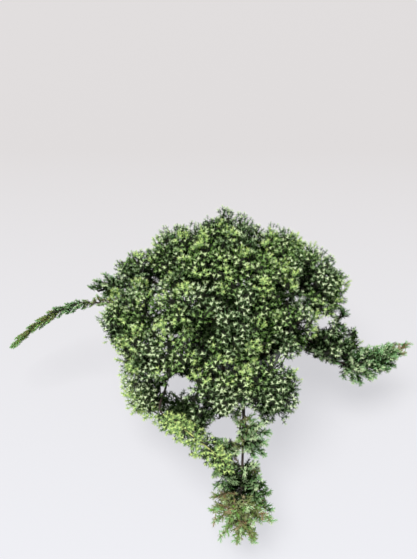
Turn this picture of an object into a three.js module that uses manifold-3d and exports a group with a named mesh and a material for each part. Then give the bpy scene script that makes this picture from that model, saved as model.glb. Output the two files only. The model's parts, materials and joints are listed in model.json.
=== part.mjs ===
// A dwarf Japanese garden juniper in its nursery pot: a low dense mound that hides the pot from above,
// with one long leader to the left, one to the right and one hanging over the front.
// Millimetres, +Z up. The origin is the middle of the pot's flat foot.
// +X is the plant's right and -Y its front.
import * as THREE from 'three';
import { mergeVertices } from 'three/addons/utils/BufferGeometryUtils.js';
import Module from 'manifold-3d';

const wasm = await Module();
wasm.setup();

// Pot: a low round nursery container of thin plastic.
const POT_HEIGHT = 110;
const POT_RIM_RADIUS = 75;
const POT_FOOT_RADIUS = 54;
const POT_WALL = 2.2;
const RIM_BAND = { height: 12, proud: 2.5 };
const POT_EDGE = { foot: 1.5, rim: 1, draft: 0.6 }; // bevels at the foot and rim, and the band's slant
const DRAIN_HOLES = { count: 6, radius: 5, circle: 43, sides: 8 };
const POT_SEGMENTS = 28; // flat sides round the pot, and round the mix inside it

// Potting mix: filled to a little under the rim, with a flat seat round the trunk.
const SOIL_LEVEL = 100;
const SOIL_DROP = 4;
const SOIL_SEAT_RADIUS = 30;

const CLEAR = 0.35; // gap that neighbouring pieces keep

// Trunk: short and leaning, in millimetres above the soil. Its tip is the crown's root.
const TRUNK_FOOT = [4, 6, CLEAR];
const TRUNK_BEND = [4, 6, 44];
const TRUNK_RADIUS = { foot: 10.5, tip: 5.5 };
const ROOT_FLARE = { width: 7, height: 9, lobes: 5, even: 0.6, ripple: 0.4 };
const TRUNK_SIDES = 15;
const TRUNK_STEPS = 9;
const NEAR_UPRIGHT = 0.8; // a line steeper than this is turned about X, and any other about Z
const LIMB_SAMPLES = 16; // points along a limb for measuring how near something comes

// Boughs: tapering limbs from the trunk or from another bough to a mass's root.
const BOUGH_SIDES = 6;
const BOUGH_STEPS = 5;
const BOUGH_TAPER = 0.55;
const BOUGH_SWEEP = { out: 0.35, in: 0.3 }; // share of its span that a bough leaves and arrives straight
const BOUGH_SQUARE = 0.7; // how squarely it leaves its holder, from 0 to 1

// Foliage. Heights are millimetres above the soil.
// holder, at: the limb that carries a mass and how far along that limb; thick: the bough's radius there.
// lift raises the bough's first stretch over the rim. A mound mass is round and faces away from the heart.
const HEART = [-15, 0, 5];
const MOUND = [
  { name: 'crown', centre: [-42, -8, 110], girth: 58 },
  { name: 'crown_right', centre: [16, -30, 104], girth: 56, holder: 'trunk', at: 0.74, thick: 4 },
  { name: 'centre', centre: [-72, -58, 88], girth: 54, holder: 'trunk', at: 0.8, thick: 4 },
  { name: 'front_centre', centre: [-14, -84, 76], girth: 56, holder: 'trunk', at: 0.62, thick: 4.2 },
  { name: 'back_top', centre: [-22, 50, 108], girth: 61, holder: 'trunk', at: 0.76, thick: 4.2 },
  { name: 'back_left', centre: [-82, 47, 90], girth: 52, holder: 'trunk', at: 0.62, thick: 5 },
  { name: 'back_right', centre: [50, 44, 92], girth: 54, holder: 'trunk', at: 0.6, thick: 4.6 },
  { name: 'right_upper', centre: [111, 26, 62], girth: 51, holder: 'trunk', at: 0.46, thick: 4.8 },
  { name: 'right_middle', centre: [58, -52, 62], girth: 47, holder: 'trunk', at: 0.5, thick: 4 },
  { name: 'left_upper', centre: [-146, 44, 64], girth: 42, holder: 'back_left', at: 0.5, thick: 3.6 },
  { name: 'left', centre: [-148, -39, 58], girth: 51, holder: 'trunk', at: 0.5, thick: 4.8 },
  { name: 'left_lower', centre: [-128, -76, 34], girth: 45, holder: 'trunk', at: 0.34, thick: 5 },
  { name: 'left_hanging', centre: [-122, -113, -8], girth: 39, holder: 'left_lower', at: 0.6, thick: 3.2 },
  { name: 'centre_lower', centre: [-78, -98, 44], girth: 46, holder: 'trunk', at: 0.44, thick: 3.6 },
  { name: 'front', centre: [-30, -130, 27], girth: 52, holder: 'trunk', at: 0.36, thick: 4.4 },
  { name: 'front_right', centre: [34, -125, 24], girth: 48, holder: 'trunk', at: 0.3, thick: 4.4 },
  { name: 'front_left', centre: [-70, -148, 0], girth: 40, holder: 'front', at: 0.66, thick: 3 },
  { name: 'rear_left', centre: [-93, 96, 44], girth: 54, holder: 'trunk', at: 0.4, thick: 4.6 },
  { name: 'rear', centre: [-14, 104, 52], girth: 54, holder: 'trunk', at: 0.5, thick: 4.6 },
  { name: 'rear_right', centre: [73, 88, 42], girth: 56, holder: 'trunk', at: 0.34, thick: 4.6 },
];
const MOUND_RISE = 0.8; // a mound mass's half depth along its line, for its girth
const MOUND_ROOT = 0.14; // where on that line its root is
const STEM = { end: 0.8, points: 9, sides: 5, radius: 1.1 }; // a mass's own stem, up to near its far end
const STEM_STEPS = { mound: 2, leader: 5 };

// A leader mass is long: it runs from its root past a bend to its tip. taper: how much thinner it is there.
const LEADERS = [
  { name: 'right_leader', root: [131, -51, -16], bend: [173, -62, -27], tip: [244, -21, -14],
    girth: 40, taper: 0.3, holder: 'trunk', at: 0.26, thick: 3.8, lift: 22, kind: 'open' },
  { name: 'right_cluster', root: [85, -28, 13], bend: [115, -49, -4], tip: [165, -17, -9],
    girth: 42, holder: 'right_leader', at: 0.42, thick: 2.8, kind: 'dense' },
  { name: 'left_leader', root: [-162, 46, 34], bend: [-187, 48, 40], tip: [-219, 26, 38],
    girth: 32, holder: 'left_upper', at: 0.72, thick: 3, kind: 'open' },
  { name: 'left_runner', root: [-202, 20, 28], bend: [-264, 30, 31], tip: [-340, -29, -27],
    girth: 20, taper: 0.62, holder: 'left_leader', at: 0.7, thick: 2.6, kind: 'runner' },
  { name: 'front_leader', root: [-3, -187, -12], bend: [-7, -241, -36], tip: [-10, -292, -56],
    girth: 46, taper: 0.05, holder: 'trunk', at: 0.3, thick: 2.9, lift: 12, kind: 'open' },
  { name: 'front_leader_right', root: [-1, -153, 4], bend: [3, -180, -4], tip: [11, -206, -17],
    girth: 29, holder: 'front_leader', at: 0.74, thick: 1.8, kind: 'open' },
  { name: 'front_leader_left', root: [-10, -183, -8], bend: [-20, -197, -16], tip: [-40, -221, -26],
    girth: 35, holder: 'front_leader', at: 0.82, thick: 1.7, kind: 'open' },
  { name: 'yellow_runner', root: [-101, -154, 6], bend: [-62, -185, 8], tip: [-14, -226, -2],
    girth: 16, holder: 'left_hanging', at: 0.95, thick: 1.7, kind: 'runner' },
  { name: 'right_sprig', root: [134, -9, 6], bend: [144, 1, 12], tip: [153, 24, 18],
    girth: 15, taper: 0.3, holder: 'right_cluster', at: 0.9, thick: 1.4, kind: 'open' },
];

// How the sprays stand in each kind of mass.
// spacing: how far apart their tips are; core: the solid heart's share of the girth, or none;
// lean: how far back along the stem a spray's foot lies, in girths; lowest: how far back the tips go;
// bluntness: how soon the outline fills out from its ends; slim: a spray's half width for its length;
// bare: where along a spray it starts to need clear room round it.
const KINDS = {
  dense: { spacing: 48, core: 0.66, lean: 0.2, lowest: -0.62, bluntness: 0.5, slim: 0.21, bare: 0.6 },
  open: { spacing: 35, core: 0, lean: 0.28, lowest: -0.75, bluntness: 0.32, slim: 0.2, bare: 0.35 },
  runner: { spacing: 27, core: 0, lean: 1.1, lowest: -0.9, bluntness: 0.3, slim: 0.2, bare: 0.35 },
};
const SPRAY_SEED = { first: 4207, step: 101 };
const CORE_SEED = { first: 4210, step: 7 };
const GOLDEN_ANGLE = Math.PI * (3 - Math.sqrt(5));
const TIP_DROP = 0.16; // a spray falls short of the outline by up to this share
const SPRAY = { sides: 3, belt: 0.68, spikeAlong: 0.9, spikeOut: 1.9 };
const SPRAY_ROOM = { share: 0.5, width: 2, spikeOut: 1.2 }; // the least that a spray or needle needs
const SPRAY_WIDTH = { least: 2.4, most: 8.5 };
const SPRAY_FOOT = { gather: 0.6, leastSpread: 0.35, first: 0.06, last: 0.86 }; // feet's places on the stem
const TWIG_RADIUS = 1.3;
const CORE = { lumps: [0.86, 1.14], inside: 0.94, offPot: 0.3 };
const NEIGHBOUR_REACH = 1.3; // stems further apart than this share of both girths need no wall between
const CELL_MARGIN = 0.5;
const LIMB_CUT = 0.9 * CLEAR; // just under the gap, so that a stem's own root stays whole
const LIMB_NEAR = 1; // a limb this close to a mass's box is cut from it
const FAR = 1000;
const POT_MARGIN = 3;
const FLOOR_MARGIN = 6;

// Colours.
const FOLIAGE_COLOUR = { dense: 0x58744a, open: 0x4c6b44, runner: 0x8d9a4a };
const BARK_COLOUR = 0x5c4034;
const POT_COLOUR = 0x24262a;
const SOIL_COLOUR = 0x3b2c22;
const ROUGHNESS = { plant: 0.8, pot: 0.5, soil: 1 };

const UP = new THREE.Vector3(0, 0, 1);
const SIDEWAYS = new THREE.Vector3(1, 0, 0);
const plant = new THREE.Group();

const aboveSoil = ([x, y, z]) => new THREE.Vector3(x, y, SOIL_LEVEL + z);

// A closed mesh as a solid: only places, merged, with no collapsed faces and with its faces outward.
function solid(geometry) {
  const bare = geometry.clone();
  bare.deleteAttribute('normal');
  bare.deleteAttribute('uv');
  const merged = mergeVertices(bare);
  const index = merged.index.array;
  const place = merged.attributes.position;
  const kept = [];
  let volume = 0;
  for (let i = 0; i < index.length; i += 3) {
    const [a, b, c] = [index[i], index[i + 1], index[i + 2]];
    if (a === b || b === c || c === a) continue;
    kept.push(a, b, c);
    const [p, q, r] = [a, b, c].map((k) => new THREE.Vector3().fromBufferAttribute(place, k));
    volume += p.dot(q.cross(r));
  }
  if (volume < 0) kept.reverse();
  const vertProperties = new Float32Array(place.array);
  return new wasm.Manifold(new wasm.Mesh({ numProp: 3, vertProperties, triVerts: new Uint32Array(kept) }));
}

// A solid as a named mesh of the plant. Scraps that a cut left loose are dropped.
function addPiece(name, shape, colour, roughness = ROUGHNESS.plant) {
  const pieces = shape.decompose();
  const main = pieces.reduce((a, b) => (b.volume() > a.volume() ? b : a));
  const { vertProperties, triVerts } = main.getMesh();
  const geometry = new THREE.BufferGeometry();
  geometry.setAttribute('position', new THREE.BufferAttribute(new Float32Array(vertProperties), 3));
  geometry.setIndex(new THREE.BufferAttribute(new Uint32Array(triVerts), 1));
  geometry.computeVertexNormals();
  const material = new THREE.MeshStandardMaterial({ color: colour, roughness, metalness: 0 });
  const mesh = new THREE.Mesh(geometry, material);
  mesh.name = name;
  plant.add(mesh);
}

// Seeded numbers from 0 to 1.
function seededNumbers(seed) {
  let state = seed >>> 0;
  return () => {
    state = (state + 0x6d2b79f5) >>> 0;
    let mixed = Math.imul(state ^ (state >>> 15), 1 | state);
    mixed = (mixed + Math.imul(mixed ^ (mixed >>> 7), 61 | mixed)) ^ mixed;
    return ((mixed ^ (mixed >>> 14)) >>> 0) / 4294967296;
  };
}

// Two directions square to a line, chosen by the line's own direction.
function squareTo(direction, reference) {
  const side = new THREE.Vector3().crossVectors(direction, reference).normalize();
  const other = new THREE.Vector3().crossVectors(side, direction);
  return [side, other];
}

function referenceFor(curve) {
  const chord = curve.getPoint(1).sub(curve.getPoint(0)).normalize();
  return Math.abs(chord.z) > NEAR_UPRIGHT ? SIDEWAYS : UP;
}

// A limb's wall at a share of its length: thick at the root, thin at the tip, flared at a foot.
function limbRadius(limb, share, turn = 0) {
  const plain = THREE.MathUtils.lerp(limb.thick, limb.thin, share);
  if (!limb.flare) return plain;
  const height = limb.curve.getPoint(share).z - limb.curve.getPoint(0).z;
  const lobe = limb.flare.even + limb.flare.ripple * Math.cos(limb.flare.lobes * turn);
  return plain + limb.flare.width * lobe * Math.exp(-height / limb.flare.height);
}

// A limb's solid. grow makes it thicker and longer, for cutting a neighbour clear of it.
function limbSolid(limb, grow = 0) {
  const geometry = new THREE.CylinderGeometry(1, 1, 1, limb.sides, limb.steps);
  const place = geometry.attributes.position;
  const reference = referenceFor(limb.curve);
  for (let i = 0; i < place.count; i += 1) {
    const share = Math.round((place.getY(i) + 0.5) * limb.steps) / limb.steps;
    const sector = Math.round((Math.atan2(place.getZ(i), place.getX(i)) / (2 * Math.PI)) * limb.sides);
    const turn = (((sector + limb.sides) % limb.sides) / limb.sides) * 2 * Math.PI;
    const onWall = Math.hypot(place.getX(i), place.getZ(i)) > 0.5;
    const reach = onWall ? limbRadius(limb, share, turn) + grow : 0;
    const tangent = limb.curve.getTangent(share);
    const [side, other] = squareTo(tangent, reference);
    const end = share === 0 ? -grow : share === 1 ? grow : 0;
    const point = limb.curve.getPoint(share).addScaledVector(tangent, end);
    point.addScaledVector(side, Math.cos(turn) * reach).addScaledVector(other, Math.sin(turn) * reach);
    place.setXYZ(i, point.x, point.y, point.z);
  }
  return solid(geometry);
}

// Points along a limb with its radius at each.
function limbSamples(limb) {
  return Array.from({ length: LIMB_SAMPLES + 1 }, (_, i) => ({
    point: limb.curve.getPoint(i / LIMB_SAMPLES),
    radius: limbRadius(limb, i / LIMB_SAMPLES),
  }));
}

// A mass's own line, from its near end to its far end, and the share where its root is.
function massLine(mass) {
  if (mass.centre) {
    const centre = aboveSoil(mass.centre);
    const axis = centre.clone().sub(aboveSoil(HEART)).normalize();
    const near = centre.clone().addScaledVector(axis, -mass.girth * MOUND_RISE);
    const far = centre.clone().addScaledVector(axis, mass.girth * MOUND_RISE);
    return { curve: new THREE.QuadraticBezierCurve3(near, centre, far), rootShare: MOUND_ROOT };
  }
  const [root, bend, tip] = [mass.root, mass.bend, mass.tip].map(aboveSoil);
  return { curve: new THREE.QuadraticBezierCurve3(root, bend, tip), rootShare: 0 };
}

const masses = [...MOUND, ...LEADERS].map((mass, number) => {
  const { curve, rootShare } = massLine(mass);
  const kind = KINDS[mass.kind ?? 'dense'];
  const halfLength = curve.getLength() / 2;
  const stem = Array.from({ length: STEM.points }, (_, i) => curve.getPoint(
    THREE.MathUtils.lerp(rootShare, STEM.end, i / (STEM.points - 1)),
  ));
  return { ...mass, kindName: mass.kind ?? 'dense', kind, curve, rootShare, halfLength, stem, number };
});
const massNamed = Object.fromEntries(masses.map((mass) => [mass.name, mass]));

// Limbs, the trunk first. A bough leaves its holder outward and arrives along its mass's line.
const limbs = {};
limbs.trunk = {
  name: 'trunk',
  curve: new THREE.QuadraticBezierCurve3(
    aboveSoil(TRUNK_FOOT),
    aboveSoil(TRUNK_BEND),
    massNamed.crown.curve.getPoint(massNamed.crown.rootShare)
      .addScaledVector(massNamed.crown.curve.getTangent(massNamed.crown.rootShare), -CLEAR),
  ),
  thick: TRUNK_RADIUS.foot,
  thin: TRUNK_RADIUS.tip,
  flare: ROOT_FLARE,
  sides: TRUNK_SIDES,
  steps: TRUNK_STEPS,
};

function addBough(mass) {
  if (!mass.holder || limbs[mass.name]) return;
  if (!limbs[mass.holder]) addBough(massNamed[mass.holder]);
  const holder = limbs[mass.holder];
  const start = holder.curve.getPoint(mass.at);
  const arrival = mass.curve.getTangent(mass.rootShare);
  const end = mass.curve.getPoint(mass.rootShare).addScaledVector(arrival, -CLEAR);
  const span = start.distanceTo(end);
  const along = holder.curve.getTangent(mass.at);
  const outward = end.clone().sub(start);
  outward.addScaledVector(along, -BOUGH_SQUARE * outward.dot(along)).normalize();
  const leave = start.clone().addScaledVector(outward, span * BOUGH_SWEEP.out);
  leave.z += mass.lift ?? 0;
  const arrive = end.clone().addScaledVector(arrival, -span * BOUGH_SWEEP.in);
  limbs[mass.name] = {
    name: mass.name,
    holder: mass.holder,
    curve: new THREE.CubicBezierCurve3(start, leave, arrive, end),
    thick: mass.thick,
    thin: mass.thick * BOUGH_TAPER,
    sides: BOUGH_SIDES,
    steps: BOUGH_STEPS,
  };
}
masses.forEach(addBough);
Object.values(limbs).forEach((limb) => { limb.samples = limbSamples(limb); });

// The space that a mass keeps to: a flat wall towards each near mass, square to the shortest way there.
function cellWalls(mass) {
  const walls = [];
  for (const other of masses) {
    if (other === mass) continue;
    let shortest = null;
    for (const p of mass.stem) {
      for (const q of other.stem) {
        const gap = p.distanceTo(q);
        if (!shortest || gap < shortest.gap) shortest = { gap, normal: q.clone().sub(p).divideScalar(gap) };
      }
    }
    if (shortest.gap > (mass.girth + other.girth) * NEIGHBOUR_REACH) continue;
    const { normal } = shortest;
    const own = Math.max(...mass.stem.map((p) => p.dot(normal)));
    const theirs = Math.min(...other.stem.map((p) => p.dot(normal)));
    const share = theirs > own ? mass.girth / (mass.girth + other.girth) : 0.5;
    walls.push({ normal, reach: own + (theirs - own) * share - CELL_MARGIN });
  }
  return walls;
}

// How much room a point has to the nearest wall of its mass's space.
const roomAt = (walls, point) => Math.min(
  FAR,
  ...walls.map(({ normal, reach }) => reach - normal.dot(point)),
);

// The share of the way from one point to another that stays inside the walls.
function shareInside(walls, from, to) {
  const step = to.clone().sub(from);
  let share = 1;
  for (const { normal, reach } of walls) {
    const climb = normal.dot(step);
    if (climb > 0) share = Math.min(share, (reach - normal.dot(from)) / climb);
  }
  return share;
}

const potRadiusAt = (height) => THREE.MathUtils.lerp(POT_FOOT_RADIUS, POT_RIM_RADIUS, height / POT_HEIGHT);

function meetsPot(point, radius) {
  if (point.z < FLOOR_MARGIN + radius) return true;
  if (point.z > POT_HEIGHT + POT_MARGIN + radius) return false;
  return Math.hypot(point.x, point.y) < potRadiusAt(Math.min(point.z, POT_HEIGHT)) + POT_MARGIN + radius;
}

function meetsLimb(point, radius) {
  return Object.values(limbs).some((limb) => limb.samples.some(
    (sample) => sample.point.distanceTo(point) < sample.radius + radius + CLEAR,
  ));
}

// The growing rule: the sprays of one mass, each from a foot on the stem to a tip near the outline.
// Tips step evenly along the line and turn by the golden angle; those with no room are left out.
function growSprays(mass, walls) {
  const { kind, girth, taper = 0, halfLength, curve, rootShare } = mass;
  const draw = seededNumbers(SPRAY_SEED.first + SPRAY_SEED.step * mass.number);
  const area = (4 * Math.PI * (girth * girth + 2 * girth * halfLength)) / 3;
  const count = Math.round((area * (1 - kind.lowest)) / 2 / (kind.spacing * kind.spacing));
  const phase = draw() * 2 * Math.PI;
  const spread = Math.max(1 - (SPRAY_FOOT.gather * girth) / halfLength, SPRAY_FOOT.leastSpread);
  const sprays = [];
  for (let k = 0; k < count; k += 1) {
    const along = THREE.MathUtils.lerp(kind.lowest, 1, (k + 0.5) / (count - 0.5));
    const turn = phase + k * GOLDEN_ANGLE;
    const fall = k === count - 1 ? 0 : TIP_DROP * draw();
    const twist = draw() * 2 * Math.PI;
    const tipShare = (1 + along * (1 - fall / 2)) / 2;
    const [side, other] = squareTo(curve.getTangent(tipShare), referenceFor(curve));
    const out = girth * (1 - fall) * (1 - along * along) ** kind.bluntness * (1 - taper * tipShare);
    const tip = curve.getPoint(tipShare);
    tip.addScaledVector(side, Math.cos(turn) * out).addScaledVector(other, Math.sin(turn) * out);
    const footAlong = along * spread - (kind.lean * girth) / halfLength;
    const firstFoot = rootShare + SPRAY_FOOT.first;
    const footShare = THREE.MathUtils.clamp((1 + footAlong) / 2, firstFoot, SPRAY_FOOT.last);
    const foot = curve.getPoint(footShare);
    const share = shareInside(walls, foot, tip);
    if (share < SPRAY_ROOM.share) continue;
    tip.lerpVectors(foot, tip, Math.min(share, 1));
    const spray = { foot, tip, twist, walls, length: foot.distanceTo(tip) };
    if (fitSpray(mass, spray)) sprays.push(spray);
  }
  return sprays;
}

// A spray's widest ring and the needles that stand out of it, cut back to the room that there is.
function fitSpray(mass, spray) {
  const { foot, tip, walls, length } = spray;
  const direction = tip.clone().sub(foot).normalize();
  const [side, other] = squareTo(direction, Math.abs(direction.z) > NEAR_UPRIGHT ? SIDEWAYS : UP);
  const belt = foot.clone().lerp(tip, SPRAY.belt);
  const wanted = THREE.MathUtils.clamp(length * mass.kind.slim, SPRAY_WIDTH.least, SPRAY_WIDTH.most);
  spray.width = Math.min(wanted, roomAt(walls, belt));
  if (spray.width < SPRAY_ROOM.width) return false;
  const around = (turn, reach, middle) => middle.clone()
    .addScaledVector(side, Math.cos(turn) * reach)
    .addScaledVector(other, Math.sin(turn) * reach);
  const turns = Array.from({ length: SPRAY.sides }, (_, q) => spray.twist + (q * 2 * Math.PI) / SPRAY.sides);
  spray.ring = turns.map((turn) => around(turn, spray.width, belt));
  spray.footRing = turns.map((turn) => around(turn, TWIG_RADIUS, foot));
  const spikeBase = foot.clone().lerp(tip, SPRAY.spikeAlong);
  spray.spikes = turns.map((ringTurn) => {
    const turn = ringTurn + Math.PI / SPRAY.sides;
    const wantedTip = around(turn, spray.width * SPRAY.spikeOut, spikeBase);
    const share = Math.min(1, shareInside(walls, spikeBase, wantedTip));
    if (share * SPRAY.spikeOut < SPRAY_ROOM.spikeOut) return null;
    const point = spikeBase.clone().lerp(wantedTip, share);
    return meetsPot(point, 0) || meetsLimb(point, 0) ? null : point;
  });
  const tested = [[mass.kind.bare, 1], [(mass.kind.bare + 1) / 2, 1], [1, 0]];
  return !tested.some(([at, thick]) => {
    const point = foot.clone().lerp(tip, at);
    return meetsPot(point, thick * spray.width) || meetsLimb(point, thick * spray.width);
  });
}

// A spray's solid: a slim core whose upper faces carry standing needles.
// Its foot is a point inside a dense mass's heart, or a thin twig's end on an open mass's stem.
function spraySolid(spray, pointed) {
  const { sides } = SPRAY;
  const points = [spray.foot, spray.tip, ...spray.ring, ...(pointed ? [] : spray.footRing)];
  const faces = [];
  for (let q = 0; q < sides; q += 1) {
    const next = (q + 1) % sides;
    const [ring, nextRing] = [2 + q, 2 + next];
    if (pointed) {
      faces.push(0, nextRing, ring);
    } else {
      const [low, nextLow] = [2 + sides + q, 2 + sides + next];
      faces.push(0, nextLow, low, low, nextLow, nextRing, low, nextRing, ring);
    }
    if (spray.spikes[q]) {
      const spike = points.push(spray.spikes[q]) - 1;
      faces.push(ring, nextRing, spike, nextRing, 1, spike, 1, ring, spike);
    } else {
      faces.push(ring, nextRing, 1);
    }
  }
  const geometry = new THREE.BufferGeometry().setFromPoints(points);
  geometry.setIndex(faces);
  return solid(geometry);
}

// The heart of a dense mass: a lumpy ball pulled in to the walls of its space.
function coreSolid(mass, walls) {
  const draw = seededNumbers(CORE_SEED.first + CORE_SEED.step * mass.number);
  const ball = new THREE.IcosahedronGeometry(1, 1);
  const geometry = mergeVertices(ball.deleteAttribute('uv').deleteAttribute('normal'));
  const place = geometry.attributes.position;
  const middle = mass.curve.getPoint(0.5);
  const tangent = mass.curve.getTangent(0.5);
  const [side, other] = squareTo(tangent, referenceFor(mass.curve));
  for (let i = 0; i < place.count; i += 1) {
    const size = mass.girth * mass.kind.core * THREE.MathUtils.lerp(...CORE.lumps, draw());
    const wanted = middle.clone()
      .addScaledVector(side, place.getX(i) * size)
      .addScaledVector(tangent, (place.getY(i) * size * mass.halfLength) / mass.girth)
      .addScaledVector(other, place.getZ(i) * size);
    const share = Math.min(1, shareInside(walls, middle, wanted) * CORE.inside);
    const point = middle.clone().lerp(wanted, share);
    if (meetsPot(point, 0)) point.lerp(middle, CORE.offPot);
    place.setXYZ(i, point.x, point.y, point.z);
  }
  return solid(geometry);
}

function foliageSolid(mass) {
  const bough = limbs[mass.name] ?? limbs.trunk;
  const walls = cellWalls(mass);
  const curve = new THREE.CatmullRomCurve3(mass.stem);
  const steps = mass.centre ? STEM_STEPS.mound : STEM_STEPS.leader;
  let shape = limbSolid({ curve, thick: bough.thin, thin: STEM.radius, sides: STEM.sides, steps });
  if (mass.kind.core) shape = shape.add(coreSolid(mass, walls));
  for (const spray of growSprays(mass, walls)) {
    shape = shape.add(spraySolid(spray, mass.kind.core > 0));
  }
  const box = shape.boundingBox();
  for (const limb of Object.values(limbs)) {
    const near = limb.samples.some(({ point, radius }) => point.toArray().every(
      (value, i) => value > box.min[i] - radius - LIMB_NEAR && value < box.max[i] + radius + LIMB_NEAR,
    ));
    if (near) shape = shape.subtract(limbSolid(limb, LIMB_CUT));
  }
  return shape;
}

function addPot() {
  const bandFloor = POT_HEIGHT - RIM_BAND.height;
  const wallAt = (height) => potRadiusAt(height) - RIM_BAND.proud;
  const innerAt = (height) => wallAt(height) - POT_WALL;
  const profile = [
    [0, 0], [POT_FOOT_RADIUS - POT_EDGE.foot, 0], [POT_FOOT_RADIUS, POT_EDGE.foot],
    [wallAt(bandFloor), bandFloor], [POT_RIM_RADIUS - POT_EDGE.draft, bandFloor],
    [POT_RIM_RADIUS, POT_HEIGHT - POT_EDGE.rim], [POT_RIM_RADIUS - POT_EDGE.rim, POT_HEIGHT],
    [innerAt(POT_HEIGHT), POT_HEIGHT], [POT_FOOT_RADIUS - POT_WALL, POT_WALL], [0, POT_WALL],
  ].map(([radius, height]) => new THREE.Vector2(radius, height));
  let pot = solid(new THREE.LatheGeometry(profile, POT_SEGMENTS).rotateX(Math.PI / 2));
  const { count, radius, circle, sides } = DRAIN_HOLES;
  for (let i = 0; i < count; i += 1) {
    const turn = (i / count) * 2 * Math.PI;
    const hole = new THREE.CylinderGeometry(radius, radius, 3 * POT_WALL, sides).rotateX(Math.PI / 2);
    hole.translate(circle * Math.cos(turn), circle * Math.sin(turn), POT_WALL / 2);
    pot = pot.subtract(solid(hole));
  }
  addPiece('pot', pot, POT_COLOUR, ROUGHNESS.pot);
}

function addSoil() {
  const foot = POT_FOOT_RADIUS - POT_WALL;
  const mouth = POT_RIM_RADIUS - RIM_BAND.proud - POT_WALL;
  const innerAt = (height) => THREE.MathUtils.mapLinear(height, POT_WALL, POT_HEIGHT, foot, mouth) - CLEAR;
  const edge = SOIL_LEVEL - SOIL_DROP;
  const floor = POT_WALL + CLEAR;
  const profile = [
    [0, floor], [innerAt(floor), floor], [innerAt(edge), edge],
    [SOIL_SEAT_RADIUS, SOIL_LEVEL], [0, SOIL_LEVEL],
  ].map(([radius, height]) => new THREE.Vector2(radius, height));
  const soil = solid(new THREE.LatheGeometry(profile, POT_SEGMENTS).rotateX(Math.PI / 2));
  addPiece('soil', soil, SOIL_COLOUR, ROUGHNESS.soil);
}

function addLimbs() {
  addPiece('trunk', limbSolid(limbs.trunk), BARK_COLOUR);
  const made = [limbs.trunk];
  for (const limb of Object.values(limbs)) {
    if (limb.name === 'trunk') continue;
    let shape = limbSolid(limb);
    for (const earlier of made) shape = shape.subtract(limbSolid(earlier, CLEAR));
    addPiece(`bough_${limb.name}`, shape, BARK_COLOUR);
    made.push(limb);
  }
}

addPot();
addSoil();
addLimbs();
for (const mass of masses) {
  addPiece(`foliage_${mass.name}`, foliageSolid(mass), FOLIAGE_COLOUR[mass.kindName]);
}

export default plant;
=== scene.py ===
# A dwarf Japanese garden juniper in its nursery pot: bark, twigs, needles, potting mix and pot,
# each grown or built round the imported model, in the same frame and in metres.
# Sizes of the growing rule are in millimetres, with heights above the potting mix, as the plant was drawn.
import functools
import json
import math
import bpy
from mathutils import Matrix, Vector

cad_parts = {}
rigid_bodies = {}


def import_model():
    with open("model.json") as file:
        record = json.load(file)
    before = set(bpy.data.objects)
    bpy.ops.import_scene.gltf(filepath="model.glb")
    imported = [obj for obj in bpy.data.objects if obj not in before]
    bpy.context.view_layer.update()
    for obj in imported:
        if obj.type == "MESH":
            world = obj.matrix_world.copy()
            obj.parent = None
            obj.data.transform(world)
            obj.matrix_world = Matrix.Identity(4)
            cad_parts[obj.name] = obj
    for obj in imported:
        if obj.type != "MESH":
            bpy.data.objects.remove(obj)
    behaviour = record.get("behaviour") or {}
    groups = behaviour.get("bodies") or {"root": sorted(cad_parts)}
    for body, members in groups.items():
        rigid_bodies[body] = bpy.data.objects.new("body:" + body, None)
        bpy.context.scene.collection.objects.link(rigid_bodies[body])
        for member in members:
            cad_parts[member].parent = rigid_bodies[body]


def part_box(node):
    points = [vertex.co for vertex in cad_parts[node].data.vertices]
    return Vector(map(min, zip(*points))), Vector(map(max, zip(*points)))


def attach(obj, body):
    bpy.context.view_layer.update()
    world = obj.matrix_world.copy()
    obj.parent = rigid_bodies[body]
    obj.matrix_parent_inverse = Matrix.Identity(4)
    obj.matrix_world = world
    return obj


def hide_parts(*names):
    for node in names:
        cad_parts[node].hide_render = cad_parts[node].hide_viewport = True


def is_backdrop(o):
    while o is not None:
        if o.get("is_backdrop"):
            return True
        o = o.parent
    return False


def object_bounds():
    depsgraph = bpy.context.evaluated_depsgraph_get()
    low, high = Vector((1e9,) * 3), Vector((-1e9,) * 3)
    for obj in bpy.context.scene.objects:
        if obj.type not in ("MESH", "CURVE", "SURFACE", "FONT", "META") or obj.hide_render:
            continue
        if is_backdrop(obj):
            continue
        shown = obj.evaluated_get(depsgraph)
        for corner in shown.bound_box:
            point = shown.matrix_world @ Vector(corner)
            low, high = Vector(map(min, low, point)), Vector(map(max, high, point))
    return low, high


bl_info = {
    "name": "Potted Garden Juniper",
    "version": (1, 0, 0),
    "blender": (4, 5, 0),
    "location": "View3D > Sidebar > Juniper",
    "description": "Grows a dwarf garden juniper in a nursery pot, needle by needle",
    "category": "Object",
}

import bpy
import numpy as np
from mathutils import Vector
from mathutils import noise

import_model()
CAD_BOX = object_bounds()

MM = 0.001

# The pot and the mix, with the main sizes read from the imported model.
POT_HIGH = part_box("pot")[1]
SOIL_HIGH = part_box("soil")[1]
POT_HEIGHT = POT_HIGH.z / MM
POT_RIM_RADIUS = POT_HIGH.x / MM
SOIL_LEVEL = SOIL_HIGH.z / MM
POT_FOOT_RADIUS = 54.0
POT_WALL = 2.2
RIM_BAND_HEIGHT = 12.0
RIM_BAND_PROUD = 2.5
POT_MIDDLE = 30
DRAIN_HOLES = 6
DRAIN_RADIUS = 5.0
DRAIN_CIRCLE = 43.0
DRAIN_SIDES = 24
DRILL_SPARE = 2
RIBS = dict(foot=62, height=32, width=2.2, sunk=0.3)
SOIL_DROP = 4.0
SOIL_SIDES = 72
SOIL_RINGS = 22
SOIL_GAP = dict(side=0.05, foot=0.4, floor=0.2, top=0.4)
SOIL_LUMPS = dict(width=9, roughness=0.6, finer=2.0, octaves=4, share=0.6, at_edge=0.25)

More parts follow.
